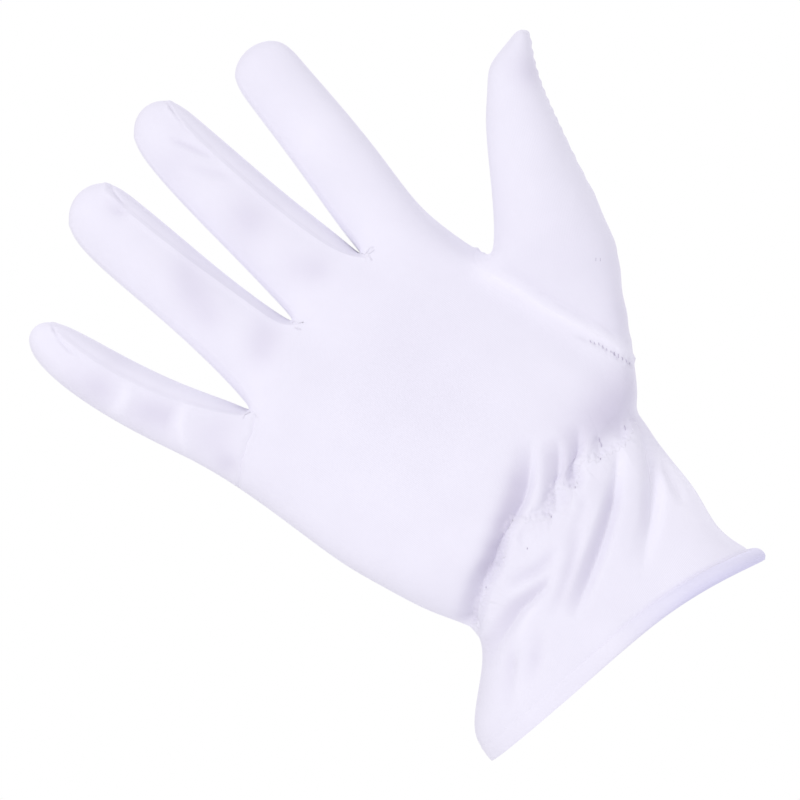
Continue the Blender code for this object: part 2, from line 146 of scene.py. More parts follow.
# Rings round the wrist and cuff, from the elastic down: heights at the outer side, the middle and the thumb
# side as shares of the cuff's length, reaches to either side as shares of its width, depths of its depth
CuffRow = namedtuple("CuffRow", "down_outer down_middle down_thumb outer thumb front back")
CUFF_ROWS = (
    CuffRow(0.330, 0.180, 0.240, -0.445, 0.375, 0.455, 0.455),
    CuffRow(0.470, 0.450, 0.530, -0.532, 0.372, 0.475, 0.475),
    CuffRow(0.640, 0.690, 0.810, -0.632, 0.328, 0.490, 0.490),
    CuffRow(0.765, 0.815, 1.050, -0.650, 0.353, 0.495, 0.495),
    CuffRow(0.885, 0.935, 1.205, -0.657, 0.376, 0.500, 0.500),
)
WRIST_RISE = 0.060  # height of the elastic over the middle of the wrist, as a share of the palm's length
WRIST_DIP = 0.135  # how far it drops towards the outer side

# Each thumb section: step along the thumb's own line as a share of its length, heading in degrees, width and
# depth as shares of the thumb's, and how far forward it stands as a share of the thumb's length
ThumbSection = namedtuple("ThumbSection", "step heading width depth forward")
THUMB_SECTIONS = (
    ThumbSection(0.205, 62, 1.28, 1.34, 0.10),
    ThumbSection(0.205, 63, 0.98, 1.06, 0.13),
    ThumbSection(0.180, 62, 0.81, 0.90, 0.15),
    ThumbSection(0.155, 60, 0.63, 0.76, 0.16),
    ThumbSection(0.130, 46, 0.42, 0.54, 0.17),
    ThumbSection(0.120, 30, 0.20, 0.36, 0.17),
)
# The rings that round its end: size as a share of the last section's, and how far back from it in millimetres
THUMB_END = ((1.0, 3.7), (0.76, 2.1), (0.36, 1.2))
THUMB_END_ASIDE = 0.9 * MM
THUMB_ROOT = (0.500, 0.475)  # across and up, as shares of the palm's width and length

# The panels that the cloth is cut into, with the width, length and area of each as it is worn, in millimetres
PALM, BACK, LITTLE, RING, MIDDLE, FORK_LITTLE, FORK_RING, FORK_MIDDLE, THUMB, HEM = range(10)
Panel = namedtuple("Panel", "name width length area")
PANELS = (
    Panel("palm", 119, 207, 14960),
    Panel("back", 146, 216, 19230),
    Panel("little_front", 45, 77, 1440),
    Panel("ring_front", 34, 84, 1480),
    Panel("middle_front", 31, 79, 1480),
    Panel("fork_ring_little", 35, 80, 1580),
    Panel("fork_middle_ring", 24, 75, 1650),
    Panel("fork_index_middle", 22, 76, 1620),
    Panel("thumb", 102, 108, 6370),
    Panel("cuff_hem", 262, 18, 1510),
)
FINGER_FRONTS = (LITTLE, RING, MIDDLE, PALM)

# A ring of the body: the front's columns, the thumb side, the back's columns and the outer side
FRONT_COUNT = 9
THUMB_SIDE = FRONT_COUNT
OUTER_SIDE = 2 * FRONT_COUNT + 1
RING_COUNT = 2 * FRONT_COUNT + 2


def between(low, high, share):
    return low + (high - low) * share


def through(outer, middle, thumb, across):
    """The smooth curve through three values at across -1, 0 and 1."""
    return middle + (thumb - outer) / 2 * across + (outer + thumb - 2 * middle) / 2 * across**2


def drop(outer, middle, thumb, across):
    """A line that is straight towards the outer side and bends away towards the thumb side."""
    return middle + (outer - middle) * max(0.0, -across) + (thumb - middle) * max(0.0, across) ** 2


def front_across():
    """Where the front columns of a round section stand, from -1 at the outer side to 1 at the thumb side."""
    step = math.pi / (FRONT_COUNT + 1)
    return [-math.cos(step * (k + 1)) for k in range(FRONT_COUNT)]


def superellipse(across, power):
    return max(0.0, 1 - abs(across) ** power) ** (1 / power)


def ring(left, right, rows_across, height_at, front_at, back, power):
    """One control ring: the front's columns, then the thumb side, the back's columns and the outer side."""
    middle, half = (left + right) / 2, (right - left) / 2

    def point(across, y):
        return Vector((middle + half * across, y, height_at(across)))

    front = [point(a, -front_at(a) * superellipse(a, power)) for a in rows_across]
    rear = [point(a, back * superellipse(a, power)) for a in reversed(rows_across)]
    return [*front, point(1.0, 0.0), *rear, point(-1.0, 0.0)]


def root_point(root, side):
    depth = side * root.depth * PALM_DEPTH
    return Vector((root.across * PALM_WIDTH, depth, root.up * PALM_LENGTH))


def root_ring():
    front = [root_point(r, -1) for r in ROOTS]
    rear = [root_point(r, 1) for r in reversed(ROOTS)]
    return [*front, root_point(ROOT_INNER, 0), *rear, root_point(ROOT_OUTER, 0)]


def palm_ring(row, share):
    """share runs from 0 at the wrist to 1 at the finger roots."""
    left, right = row.outer * PALM_WIDTH, row.thumb * PALM_WIDTH
    low = ROOTS[0].across
    high = ROOTS[-1].across
    spread = [2 * (r.across - low) / (high - low) - 1 for r in ROOTS]
    columns = [between(a, 0.955 * b, share) for a, b in zip(front_across(), spread)]
    columns[-1] = row.seam
    return ring(
        left,
        right,
        columns,
        lambda a: between(row.up_outer, row.up_thumb, (a + 1) / 2) * PALM_LENGTH,
        lambda a: through(row.heel, row.hollow, row.ball, a) * PALM_DEPTH,
        row.back * PALM_DEPTH,
        between(2.2, 3.2, share),
    )


def wrist_height(across):
    return (WRIST_RISE - WRIST_DIP * np.clip(-across, 0, 1) ** 2) * PALM_LENGTH


def wrist_ring():
    half = WRIST_WIDTH / 2
    depth = WRIST_DEPTH / 2
    return ring(-half, half, front_across(), wrist_height, lambda a: depth, depth, 2.2)


def cuff_ring(row):
    return ring(
        row.outer * CUFF_WIDTH,
        row.thumb * CUFF_WIDTH,
        front_across(),
        lambda a: -drop(row.down_outer, row.down_middle, row.down_thumb, a) * CUFF_LENGTH,
        lambda a: row.front * CUFF_DEPTH,
        row.back * CUFF_DEPTH,
        2.2,
    )


def finger_ring(finger, root, section):
    lean = math.radians(finger.lean)
    along = Vector((math.sin(lean), 0, math.cos(lean)))
    side = Vector((math.cos(lean), 0, -math.sin(lean)))
    front = Vector((0, -1, 0))
    centre = root + finger.length * (section.along * along + section.aside * side)
    centre += finger.curl * finger.length * section.along**2 * front
    half_width = finger.width * section.width / 2 * RING_OF_8
    half_depth = finger.depth * section.depth / 2 * RING_OF_8
    angles = (180 - section.fork, 90, section.fork, 0, -section.fork, -90, 180 + section.fork, 180)
    points = []
    for angle in angles:
        a = math.radians(angle + section.turn)
        points.append(centre + half_width * math.cos(a) * side + half_depth * math.sin(a) * front)
    return points, centre + along * finger.length * (1.02 - section.along) * 1.3


def thumb_rings():
    centre = Vector((THUMB_ROOT[0] * PALM_WIDTH, 0, THUMB_ROOT[1] * PALM_LENGTH))
    rings = []
    for section in THUMB_SECTIONS:
        heading = math.radians(section.heading)
        along = Vector((math.cos(heading), 0, math.sin(heading)))
        web = Vector((-math.sin(heading), 0, math.cos(heading)))
        centre = centre + along * section.step * THUMB_LENGTH
        half_width = THUMB_WIDTH * section.width / 2 * RING_OF_10
        half_depth = THUMB_DEPTH * section.depth / 2 * RING_OF_10
        middle = centre + Vector((0, -section.forward * THUMB_LENGTH, 0))
        points = []
        for k in range(10):
            a = math.tau * (k + 1) / 10
            points.append(middle + half_width * math.cos(a) * web - Vector((0, half_depth * math.sin(a), 0)))
        rings.append(points)
    return rings


# How finely the cage is divided: the sides of a cage face get this many steps, and every one of these is
# used beside the gathers, every second one elsewhere and every fourth one on plain cloth.
FINEST = 32
BESIDE_GATHERS, ORDINARY, PLAIN = 1, 2, 4
FINE_BAND = (-10 * MM, 13 * MM)  # above the gathers, on the palm side
PLAIN_FROM, PLAIN_TO = 28 * MM, 0.8 * PALM_LENGTH  # plain cloth away from the seams

SHELL = 0.8 * MM  # thickness of the cloth here
SEAM_OPEN = 0.004 * MM  # what shows of the gap in a seam
KNIT_PITCH = 0.5 * MM  # width of one column of knit stitches

# Creases of the cloth, each a run of points (across, up, share of the depth) in millimetres. left is its
# reach on the side towards the little finger and the fingertips, right its reach on the other side. A crease
# whose depth is below zero stands up. A flat one falls evenly from its left shoulder to its floor.
Crease = namedtuple("Crease", "side flat left right depth points")
CREASES = [Crease(*row) for row in (
    # Above the gathers
    (-1, 1, 4.7, 2, 4, (
        (11.5, 23.5, 0), (8, 20.4, 0.3), (4.5, 17.3, 0.7), (0.5, 14, 0.9), (-4, 11.4, 1), (-9, 9.6, 1),
        (-15.5, 6.6, 1), (-21.5, 3.6, 1), (-28.5, 1.4, 1), (-35, -2.2, 0.9), (-42, -7, 0.8))),
    (-1, 1, 4.2, 2.2, 3.4, ((16.5, 18, 0), (12.5, 13.5, 0.8), (8, 9, 1), (3.5, 5, 0.8), (0.5, 2.8, 0.3))),
    (-1, 1, 4.4, 1.9, 3.8, ((23, 16.5, 0), (19, 11.5, 0.7), (15, 8, 1), (11.5, 5, 0.8), (9.5, 3.6, 0.3))),
    (-1, 0, 9, 3.5, 2.4, (
        (42, 6.5, 0.3), (36, 6.5, 0.6), (31, 6.5, 1), (25, 7.5, 0.9), (19, 10, 0.4), (14, 12, 0))),
    (-1, 0, 1.4, 0.9, 0.5, ((26, 11, 0), (24.5, 7.5, 1), (21.5, 4.4, 0.7))),
    (-1, 0, 1.2, 0.9, 0.4, ((34.5, 9, 0), (33, 5.8, 1), (31, 3.6, 0.5))),
    # Between the gathers and the hem
    (-1, 1, 4, 2, 3.8, (
        (28, 5, 0), (25, 1.5, 0.4), (21, -2.2, 0.7), (15.5, -6.6, 1), (9, -10.6, 1), (2, -14.2, 1),
        (-5, -17.4, 0.9), (-11, -20, 0.6), (-17, -22.5, 0))),
    (-1, 1, 4.2, 2, 4, (
        (43, 5, 0), (40.2, 2.2, 0.6), (37.3, -1.2, 0.9), (33.4, -5.8, 1), (28.7, -11, 1), (24, -15, 0.9),
        (19.4, -18.6, 0.7), (14, -22, 0.4), (6, -27, 0))),
    (-1, 1, 2.4, 1.6, 1.9, ((37, -4.5, 0), (33.5, -12, 1), (31.5, -17, 0.9), (29, -23, 0))),
    (-1, 1, 3.2, 1.8, 2.2, (
        (-11, -8.8, 0), (-16, -10.4, 0.8), (-21, -10.4, 1), (-26, -10, 1), (-31, -11.2, 0.9),
        (-37.5, -13, 0.6), (-45, -17.5, 0))),
    (-1, 0, 2.4, 1.5, 1.4, ((-5, -5, 0), (-10, -6, 0.9), (-16, -5.8, 1), (-20, -4.6, 0.8), (-25, -4.4, 0))),
    (-1, 0, 2.2, 1.3, 1.3, ((4, -5.5, 0), (-1, -8.4, 0.8), (-8, -12.6, 1), (-15, -16, 0.7), (-22, -19, 0))),
    (-1, 0, 1.6, 1.6, 0.5, ((12, 1, 0), (8, -2, 1), (0, -5.5, 0.6), (-6, -8.5, 0))),
    (-1, 0, 2.5, 1.5, 1.2, ((-31, -15, 0), (-38, -20, 1), (-44, -25, 0.6), (-49, -30, 0))),
    (-1, 0, 3, 2, 1.1, ((-24, -18, 0), (-32, -24, 1), (-39, -29, 0))),
    (-1, 0, 1.6, 1.6, -0.4, ((27, 4, 0), (20, -0.5, 1), (12, -5, 1), (3, -9, 0.8), (-5, -13, 0))),
    (-1, 0, 1.5, 1.5, -0.5, ((-16, -12.5, 0), (-24, -13.4, 1), (-31, -15.8, 0.8), (-38, -20, 0))),
    (-1, 0, 1.4, 1.6, -0.4, ((-9, -9.5, 0), (-17, -7.8, 1), (-23, -6.8, 0.7), (-29, -6.4, 0))),
    (-1, 0, 1.2, 1.4, 0.35, ((-9, 6, 0), (-11, 4, 1), (-13, 1, 0.4), (-15, -2, 0))),
    (-1, 0, 1.4, 1.4, 0.35, ((6.5, 5, 0), (5.5, 2.5, 1), (3, -0.5, 0.4), (0, -3, 0))),
    (-1, 0, 1.6, 1.2, 0.45, ((15.5, 7, 0), (13.5, 4.5, 1), (10, 1.5, 0.5), (6, -1.5, 0))),
    # The thumb's seam
    (-1, 0, 3, 1.2, -1.5, (
        (33, 70, 0), (35.5, 63, 0.8), (38.2, 55, 1), (39.8, 48, 1), (41.8, 41.5, 1), (44.2, 34.5, 0.9),
        (46.5, 27.5, 0.7), (48.5, 21, 0.5))),
    (-1, 0, 0.9, 2.6, 0.5, (
        (38, 65, 0), (39.5, 60, 0.7), (41.3, 55, 1), (42.3, 48.5, 1), (44, 42, 1), (46.2, 35.3, 0.9),
        (48.4, 28.7, 0.7), (50, 22, 0.3))),
    (-1, 0, 0.5, 0.4, 0.8, (
        (39.4, 35.5, 0), (41.3, 32.5, 0.7), (43.3, 27.5, 1), (45, 22.5, 1), (46.6, 17, 1))),
    # Fingers
    (-1, 0, 1.1, 0.9, 0.85, ((-4.2, 157, 0), (-2.7, 154, 0.9), (-1, 150, 1), (0.8, 145.5, 0.6), (2, 142, 0))),
    (-1, 0, 1.9, 1.3, 0.6, ((-6.4, 147.7, 0), (-3.5, 144, 0.8), (-0.5, 139.5, 1), (1.5, 135, 0))),
    (-1, 0, 0.4, 0.4, 0.4, ((2.8, 166.5, 0.8), (1.8, 161, 1), (0.8, 155.5, 0.8), (1.4, 151, 0))),
    (-1, 0, 0.4, 0.4, 0.4, ((-25.5, 160.5, 0.8), (-26.5, 156, 1), (-27, 151, 0))),
    (-1, 0, 0.5, 0.5, 0.5, ((-66, 142, 0.6), (-67.3, 137, 1), (-67.5, 132.5, 0.8), (-66, 129, 0))),
    (-1, 0, 1, 1, 0.5, ((-30.5, 153.5, 0), (-28.3, 150.8, 1), (-26, 147, 0))),
    (-1, 0, 1.5, 1.5, -0.55, ((-61.5, 115, 0), (-64.5, 112, 1), (-69.5, 110.5, 0.9), (-73, 112, 0))),
    (-1, 0, 1.3, 1.3, -0.55, (
        (-52, 97.5, 0), (-56, 97, 1), (-59.5, 95, 1), (-62.5, 91, 0.9), (-64, 87.5, 0))),
    (-1, 0, 1.6, 1.6, 0.35, ((-54, 101, 0), (-58.5, 100, 1), (-62.5, 98, 1), (-67, 95, 0.3))),
    # The back, which the photograph doesn't show
    (1, 0, 3, 1.6, 2, ((20, 24, 0), (10, 17, 0.8), (2, 11, 1), (-6, 6.5, 0.6))),
    (1, 0, 3, 1.5, 1.8, ((34, 17, 0), (28, 12, 0.9), (22, 8, 1), (16, 6, 0.5))),
    (1, 0, 3.2, 1.5, 2, ((-8, 14, 0), (-18, 9, 1), (-28, 3, 1), (-38, -3, 0.7))),
    (1, 0, 2.4, 1.4, 1.9, ((30, 3, 0.3), (22, -5, 1), (14, -12, 1), (6, -18, 0.8), (-3, -23, 0))),
    (1, 0, 2.2, 1.4, 1.7, ((12, 2, 0.3), (4, -5, 1), (-6, -11, 1), (-16, -17, 0.7), (-26, -22, 0))),
    (1, 0, 2.2, 1.4, 1.3, ((-8, 0, 0.2), (-18, -6, 1), (-28, -12, 0.9), (-38, -19, 0))),
    (1, 0, 1.8, 1.3, 1.4, ((37, -2, 0.5), (32, -10, 1), (27, -18, 0.7), (22, -25, 0))),
    (1, 0, 4, 3, 0.5, ((-60, 78, 0), (-50, 84, 1), (-38, 88, 0.8), (-28, 92, 0))),
)]

# The gathers' edge, as points (across, up) in millimetres on the palm side and on the back
GATHER_EDGES = {
    -1: (
        (-44, -9), (-39.7, -6.5), (-37.3, -4.1), (-34.4, -2.6), (-31.9, -0.7), (-28.8, 0.7), (-25.9, 1.4),
        (-23.9, 3.1), (-21.2, 2.6), (-18.3, 4.1), (-15.5, 5.8), (-11.6, 9.2), (-9.0, 10.0), (-7.5, 7.3),
        (-5.1, 5.8), (-3.4, 4.6), (-0.8, 2.6), (1.5, 4.5), (3.5, 6.9), (5.5, 7.8), (6.9, 7.1), (8.2, 5.6),
        (9.0, 4.1), (10.0, 3.9), (11.4, 5.0), (13.2, 6.9), (15.0, 8.0), (17.0, 8.6), (18.3, 7.0), (20.4, 4.6),
        (22.7, 4.8), (25.5, 3.6), (28.6, 2.8), (31.0, 3.3), (32.6, 3.9), (34.8, 5.4), (37, 4.6), (42, 4)),
    1: (
        (-44, -9), (-39, -6), (-34, -2.5), (-29, -0.5), (-24, 2.2), (-20, 1.6), (-15, 4.6), (-10, 6.4),
        (-6, 4.4), (-1, 5.8), (4, 8.2), (8, 6.0), (12, 6.2), (17, 8.0), (21, 5.4), (26, 5.6), (31, 4.0),
        (37, 4.6), (42, 4)),
}

# Soft hollows, with painted shade in them and along the creases beside them: middle and reach in millimetres,
# the depth of the hollow, and how much painted shade, below zero for a paler place, which is painted light.
# On the fingers the grey is partly the darker look of the thin cloth where it is drawn tight. The thumb's are
# at its two sides.
Spot = namedtuple("Spot", "across up reach depth grey")
THUMB_FILLS = (Spot(76.5, 107.5, 5.5, -1.4, 0), Spot(66, 44, 7.0, -1.0, 0))
SPOTS = [Spot(*row) for row in (
    (-4, 124, 6.8, 0.65, 0.42), (0.5, 100, 4.2, 0.3, 0.28), (-3.5, 104, 5.5, 0.2, 0.22),
    (-8, 150, 5, 0.2, 0.15), (-30, 119, 5.6, 0.6, 0.4), (-27.5, 126, 5, 0.3, 0.3), (-32, 112, 4.5, 0.3, 0.3),
    (-23.5, 97, 5, 0.45, 0.36), (-28.5, 94, 4.5, 0.4, 0.28), (-29, 153, 3, 0.2, 0.25),
    (-69, 118.5, 4.8, 0.5, 0.44), (-61.5, 101.5, 4.8, 0.5, 0.44), (-65, 106, 5, 0.25, 0.3),
    (-55, 86, 6.5, 0.15, 0.3), (-57.5, 78, 3.5, 0.3, 0.4), (-72, 125, 5, 0.15, 0.2), (32, 12, 8, 0, 0.5),
    (23, 15, 8, 0, 0.24), (41, 13, 8, 0, 0.45), (62, 42, 9, 0, 0.14), (55, 29, 7, 0, 0.3),
    (29, 129, 10, 0, -0.4), (9, 143, 4, 0, 0.15), (-58, 122, 5, 0, 0.15), (83.5, 98.5, 5, 0, 0.4),
    (2, 62, 22, 0, 0.12), (54, 56, 12, 0, 0.12), (42, -12, 13, 0, -0.95), (34, -25, 13, 0, -0.9),
    (50, -24, 15, 0, -1), (25, 0, 7, 0, -0.3), (14, -32, 11, 0, -0.45), (-12.4, 10.9, 3.5, 0, 0.4),
    (-7, 13.8, 3.5, 0, 0.36), (-1.6, 16.8, 3.5, 0, 0.34), (-18.5, 7.7, 3.5, 0, 0.36),
    (-24.4, 4.6, 3.5, 0, 0.3),
)]

# What a seam does to the cloth beside it: the panels that it joins, the height of its ridge, the reach of
# the ridge, and the depth of its groove, in millimetres
Seam = namedtuple("Seam", "first second ridge reach groove")
SEAMS = (
    Seam(LITTLE, FORK_LITTLE, 0.50, 0.9, 0.05),
    Seam(RING, FORK_RING, 0.50, 0.9, 0.05),
    Seam(MIDDLE, FORK_MIDDLE, 0.50, 0.9, 0.05),
    Seam(RING, FORK_LITTLE, 0.15, 0.8, 0.05),
    Seam(MIDDLE, FORK_RING, 0.15, 0.8, 0.05),
    Seam(PALM, FORK_MIDDLE, 0.15, 0.8, 0.05),
    *(Seam(BACK, fork, 0.35, 0.9, 0.10) for fork in (FORK_LITTLE, FORK_RING, FORK_MIDDLE)),
    Seam(LITTLE, PALM, 0.15, 1.2, 0.50),
    Seam(RING, PALM, 0.20, 1.4, 0.15),
    Seam(MIDDLE, PALM, 0.12, 1.4, 0.08),
    Seam(LITTLE, BACK, 0.30, 1.0, 0.15),
    Seam(PALM, BACK, 0.30, 1.1, 0.15),
    Seam(THUMB, PALM, 0.00, 1.0, 0.05),
    Seam(THUMB, BACK, 0.50, 1.4, 0.15),
)

CREASE_SHADE = 0.30  # how much painted shade a crease gets
RIDGE_HIGHLIGHT = 0.75  # how much painted highlight a ridge gets
SIDE_FADE = 0.35  # creases fade out where less of the cloth than this faces their side
THUMB_HEADING = math.radians(62)  # direction of the thumb, from the wrist's line

# Lengths in millimetres
LITTLE_ROOT = (-43.5, 83), (-59.5, 72.5)  # the ends of the seam across the little finger's root
ROOT_BOW = 1.3  # how far that seam bows
ROOT_RIPPLE = 0.35  # height of its ripples
ROOT_REACH = 6  # how far from it the cloth is bent with it
GATHER_BAND = 26  # how far from the wrist's line the gathers run at most
SHELF = 1.2  # how far the cloth below the gathers' edge stands out
DIP = 0.3  # how far the cloth above it is drawn in
LIP = 0.12  # height of the ridge on the shelf
PUCKER = 0.07  # height of the puckers below it
SEAM_GROOVE = 0.40  # reach of a seam's groove
THUMB_RIDGE = 0.30  # height of the thumb's outer seam
NICK, NICK_LENGTH = 0.16, 2.9  # height and length of the nicks in it
NICK_WIDTH = 0.09  # its reach round the thumb, as the share of the cloth's normal that points forward
HEM_ROLL = 5.0  # height of the rolled hem
HEM_BULGE = 1.9  # how far it stands out at most
HEM_GROOVE = 0.35  # depth of the groove above it
STITCH_STEP = 1.1  # between the points of the zigzag thread

# The darker stitches, whose grey thread is painted shadow for the shade in the seam's gaps and beside the
# stitches: a run along the end of the thumb's seam, and single ones, which reach back behind their places and
# ahead of them
DARK_SEAM = ((42.0, 31.0), (43.6, 27.5), (45.0, 22.5), (46.6, 16.9))
Dark = namedtuple("Dark", "back ahead radius rise places")
DARK_STITCHES = (
    Dark((0.5, 0.5), (0.5, 0.5), 0.09, 0.01, ((59.6, 46.4), (60.5, 45.5))),
    Dark((0.6, 0.7), (0.3, 0.7), 0.13, 0.12, ((24.6, 8.4), (24.0, 7.0), (32.4, 5.6))),
    Dark((0.2, 0.2), (0.2, 0.2), 0.16, 0.06, (
        (-0.9, 2.3), (9.9, 3.5), (20.8, 4.3), (-12.1, 0.5), (-28.4, 0.4))),
)
THREAD_ENDS = (  # each a run of places
    ((12.6, 94.4), (14.0, 92.9), (16.0, 92.6)),
    ((13.4, 93.6), (15.2, 94.0), (16.4, 93.4)),
    ((12.9, 93.8), (13.6, 92.2), (13.2, 90.9)),
    ((-15.2, 94.2), (-14.4, 92.6), (-13.2, 91.8)),
    ((-15.6, 94.0), (-16.0, 92.2), (-15.2, 90.8)),
    ((-42.2, 83.8), (-43.8, 84.4), (-45.2, 83.9)),
)

# The tints of the cloth: painted shade in its creases and hollows, painted light on its ridges and
# paler places, and painted shade on the underside of the rolled hem
TINTS = {"grey": (0.66, 0.63, 0.74), "painted_light": (0.93, 0.92, 0.98), "painted_hem_shade": (0.72, 0.71, 0.88)}


def hill(away, reach=1.0):
    """A smooth hill of height 1 at 0."""
    return np.exp(-((away / reach) ** 2))


def wave(place, length, start=0.0):
    return np.sin(math.tau * place / length + start)


def unit(vectors):
    return vectors / np.maximum(np.linalg.norm(vectors, axis=1, keepdims=True), 1e-12)


def runs(counts):
    """Where the run of corners of each polygon starts, whose each corner is, and which one follows it."""
    starts = np.concatenate(([0], np.cumsum(counts)[:-1]))
    owner = np.repeat(np.arange(len(counts)), counts)
    following = np.arange(len(owner)) + 1
    following[starts + counts - 1] = starts
    return starts, owner, following


def add_object(name, data):
    added = bpy.data.objects.new(name, data)
    bpy.context.scene.collection.objects.link(added)
    return added


def new_mesh(name, bm):
    mesh = bpy.data.meshes.new(name)
    bm.to_mesh(mesh)
    bm.free()
    return mesh


def add_ring(bm, points):
    return [bm.verts.new(p) for p in points]


def arcs(points, front_middle, rear_middle, height_of, centre=0.0):
    """Texture places of a ring's points, measured along it from the front's middle and from the back's."""
    count = len(points)

    def places(start, stop):
        found = {start: 0.0}
        for step, last in ((1, stop), (-1, (stop + 1) % count)):
            k = start
            while k != last:
                n = (k + step) % count
                found[n] = found[k] + step * (points[n] - points[k]).length
                k = n
        return [(centre + found[k], height_of(points[k])) for k in range(count)]

    front = places(front_middle, rear_middle)
    rear = [(2 * centre - u, v) for u, v in places(rear_middle, front_middle)]
    return front, rear


def body_arcs(points):
    return arcs(points, FRONT_COUNT // 2, THUMB_SIDE + 1 + FRONT_COUNT // 2, lambda p: p.z)


def finger_arcs(points):
    return arcs(points, 1, 5, lambda p: p.z, points[1].x)


def thumb_arcs(points):
    along = Vector((math.cos(THUMB_HEADING), 0, math.sin(THUMB_HEADING)))
    return arcs(points, 1, 6, lambda p: p.dot(along))


def add_face(bm, corners, panel, places):
    face = bm.faces.new(corners)
    face.material_index = panel
    layer = bm.loops.layers.uv["knit"]
    for loop, place in zip(face.loops, places):
        loop[layer].uv = place


def skin(bm, lower, upper, panels, measure, rear_columns, skipped=()):
    """Quads between two rings with the same count. panels names the panel of each column."""
    count = len(lower)
    low = measure([v.co for v in lower])
    high = measure([v.co for v in upper])
    for k in range(count):
        if k not in skipped:
            n = (k + 1) % count
            side = 1 if k in rear_columns else 0
            places = (low[side][k], low[side][n], high[side][n], high[side][k])
            add_face(bm, (lower[k], lower[n], upper[n], upper[k]), panels[k], places)


def cage_mesh():
    bm = bmesh.new()
    bm.loops.layers.uv.new("knit")
    body_panels = [PALM] * THUMB_SIDE + [BACK] * (FRONT_COUNT + 1) + [PALM]
    rear = range(THUMB_SIDE, OUTER_SIDE)
    roots = add_ring(bm, root_ring())
    rows = [roots]
    for n, row in enumerate(PALM_ROWS):
        rows.append(add_ring(bm, palm_ring(row, 1 - (n + 1) / (len(PALM_ROWS) + 1))))
    rows.append(add_ring(bm, wrist_ring()))
    for n, (upper, lower) in enumerate(zip(rows, rows[1:])):
        open_side = (THUMB_SIDE - 1, THUMB_SIDE) if n in THUMB_HOLE else ()
        skin(bm, lower, upper, body_panels, body_arcs, rear, open_side)
    cuff = [rows[-1]] + [add_ring(bm, cuff_ring(row)) for row in CUFF_ROWS]
    for upper, lower in zip(cuff, cuff[1:-1]):
        skin(bm, lower, upper, body_panels, body_arcs, rear)
    skin(bm, cuff[-1], cuff[-2], [HEM] * RING_COUNT, body_arcs, rear)
    add_fingers(bm, roots)
    add_thumb(bm, rows)
    for vert in [v for v in bm.verts if not v.link_faces]:
        bm.verts.remove(vert)
    return new_mesh("glove_cage", bm)


def add_fingers(bm, roots):
    crotches = [roots[OUTER_SIDE]]
    for k in (2, 4, 6):
        point = (roots[k].co + roots[2 * FRONT_COUNT - k].co) / 2
        crotches.append(bm.verts.new(point - Vector((0, 0, CROTCH_DROP * PALM_LENGTH))))
    crotches.append(roots[THUMB_SIDE])
    forks = (None, FORK_LITTLE, FORK_RING, FORK_MIDDLE, None)
    for f, finger in enumerate(FINGERS):
        left, right = 2 * f, 2 * f + 2
        rear = 2 * FRONT_COUNT
        base = [roots[left], roots[left + 1], roots[right], crotches[f + 1]]
        base += [roots[rear - right], roots[rear - left - 1], roots[rear - left], crotches[f]]
        front = FINGER_FRONTS[f]
        inner = forks[f + 1]
        outer = forks[f]
        panels = [front, front, front if inner is None else inner, BACK if inner is None else inner]
        panels += [BACK, BACK, BACK if outer is None else outer, front if outer is None else outer]
        root = (roots[left].co + roots[right].co + roots[rear - left].co + roots[rear - right].co) / 4
        for section in finger.sections:
            points, tip = finger_ring(finger, root, section)
            upper = add_ring(bm, points)
            skin(bm, base, upper, panels, finger_arcs, range(3, 7))
            base = upper
        places = finger_arcs([v.co for v in base])
        top = (base[1].co.x, tip.z)
        base = [*base, bm.verts.new(tip)]
        for side, corners in ((0, (0, 1, 8, 7)), (0, (1, 2, 3, 8)), (1, (8, 3, 4, 5)), (1, (7, 8, 5, 6))):
            here = [*places[side], top]
            add_face(bm, [base[k] for k in corners], (front, BACK)[side], [here[k] for k in corners])


def add_thumb(bm, rows):
    near, far = THUMB_SIDE - 1, THUMB_SIDE + 1
    base = [rows[n][near] for n in (1, 2, 3, 4)] + [rows[4][THUMB_SIDE]]
    base += [rows[n][far] for n in (4, 3, 2, 1)] + [rows[1][THUMB_SIDE]]
    rings = thumb_rings()
    middle = sum(rings[-1], Vector()) / 10
    ahead = (middle - sum(rings[-2], Vector()) / 10).normalized()
    aside = Vector((THUMB_END_ASIDE, 0, 0))
    last = rings.pop()
    for size, back in THUMB_END:
        rings.append([middle + size * (p - middle) - back * MM * ahead + aside for p in last])
    for points in rings:
        upper = add_ring(bm, points)
        skin(bm, base, upper, [THUMB] * 10, thumb_arcs, range(4, 9))
        base = upper
    front_places, rear_places = thumb_arcs([v.co for v in base])
    for corners in ((9, 0, 1, 8), (8, 1, 2, 7), (7, 2, 3, 6), (6, 3, 4, 5)):
        places = [front_places[k] if k < 4 or k == 9 else rear_places[k] for k in corners]
        add_face(bm, [base[k] for k in corners], THUMB, places)


def bend_root(points):
    """Bow and ripple the front of the little finger's root along the finger."""
    first, second = (Vector(end) for end in LITTLE_ROOT)
    across = (second - first).normalized()
    ahead = Vector((across.y, -across.x))
    x, z = points[:, 0] / MM - first.x, points[:, 2] / MM - first.y
    place = np.clip((x * across.x + z * across.y) / (second - first).length, 0, 1)
    away = x * ahead.x + z * ahead.y
    bow = ROOT_BOW * wave(place, 2) + ROOT_RIPPLE * wave(place, 1 / 3.3)
    fade = np.clip(1 - np.abs(away) / ROOT_REACH, 0, 1) ** 2 * np.clip(-points[:, 1] / (3 * MM), 0, 1)
    moved = points.copy()
    moved[:, 0] += fade * bow * ahead.x * MM
    moved[:, 2] += fade * bow * ahead.y * MM
    return moved


def smooth_points(cage):
    body = add_object("glove_cage", cage)
    smooth = body.modifiers.new("smooth", "SUBSURF")
    smooth.levels = smooth.render_levels = round(math.log2(FINEST))
    mesh = bpy.data.meshes.new_from_object(body.evaluated_get(bpy.context.evaluated_depsgraph_get()))
    points = np.empty(3 * len(mesh.vertices))
    mesh.vertices.foreach_get("co", points)
    bpy.data.meshes.remove(mesh)
    bpy.data.objects.remove(body)
    return points.reshape(-1, 3)


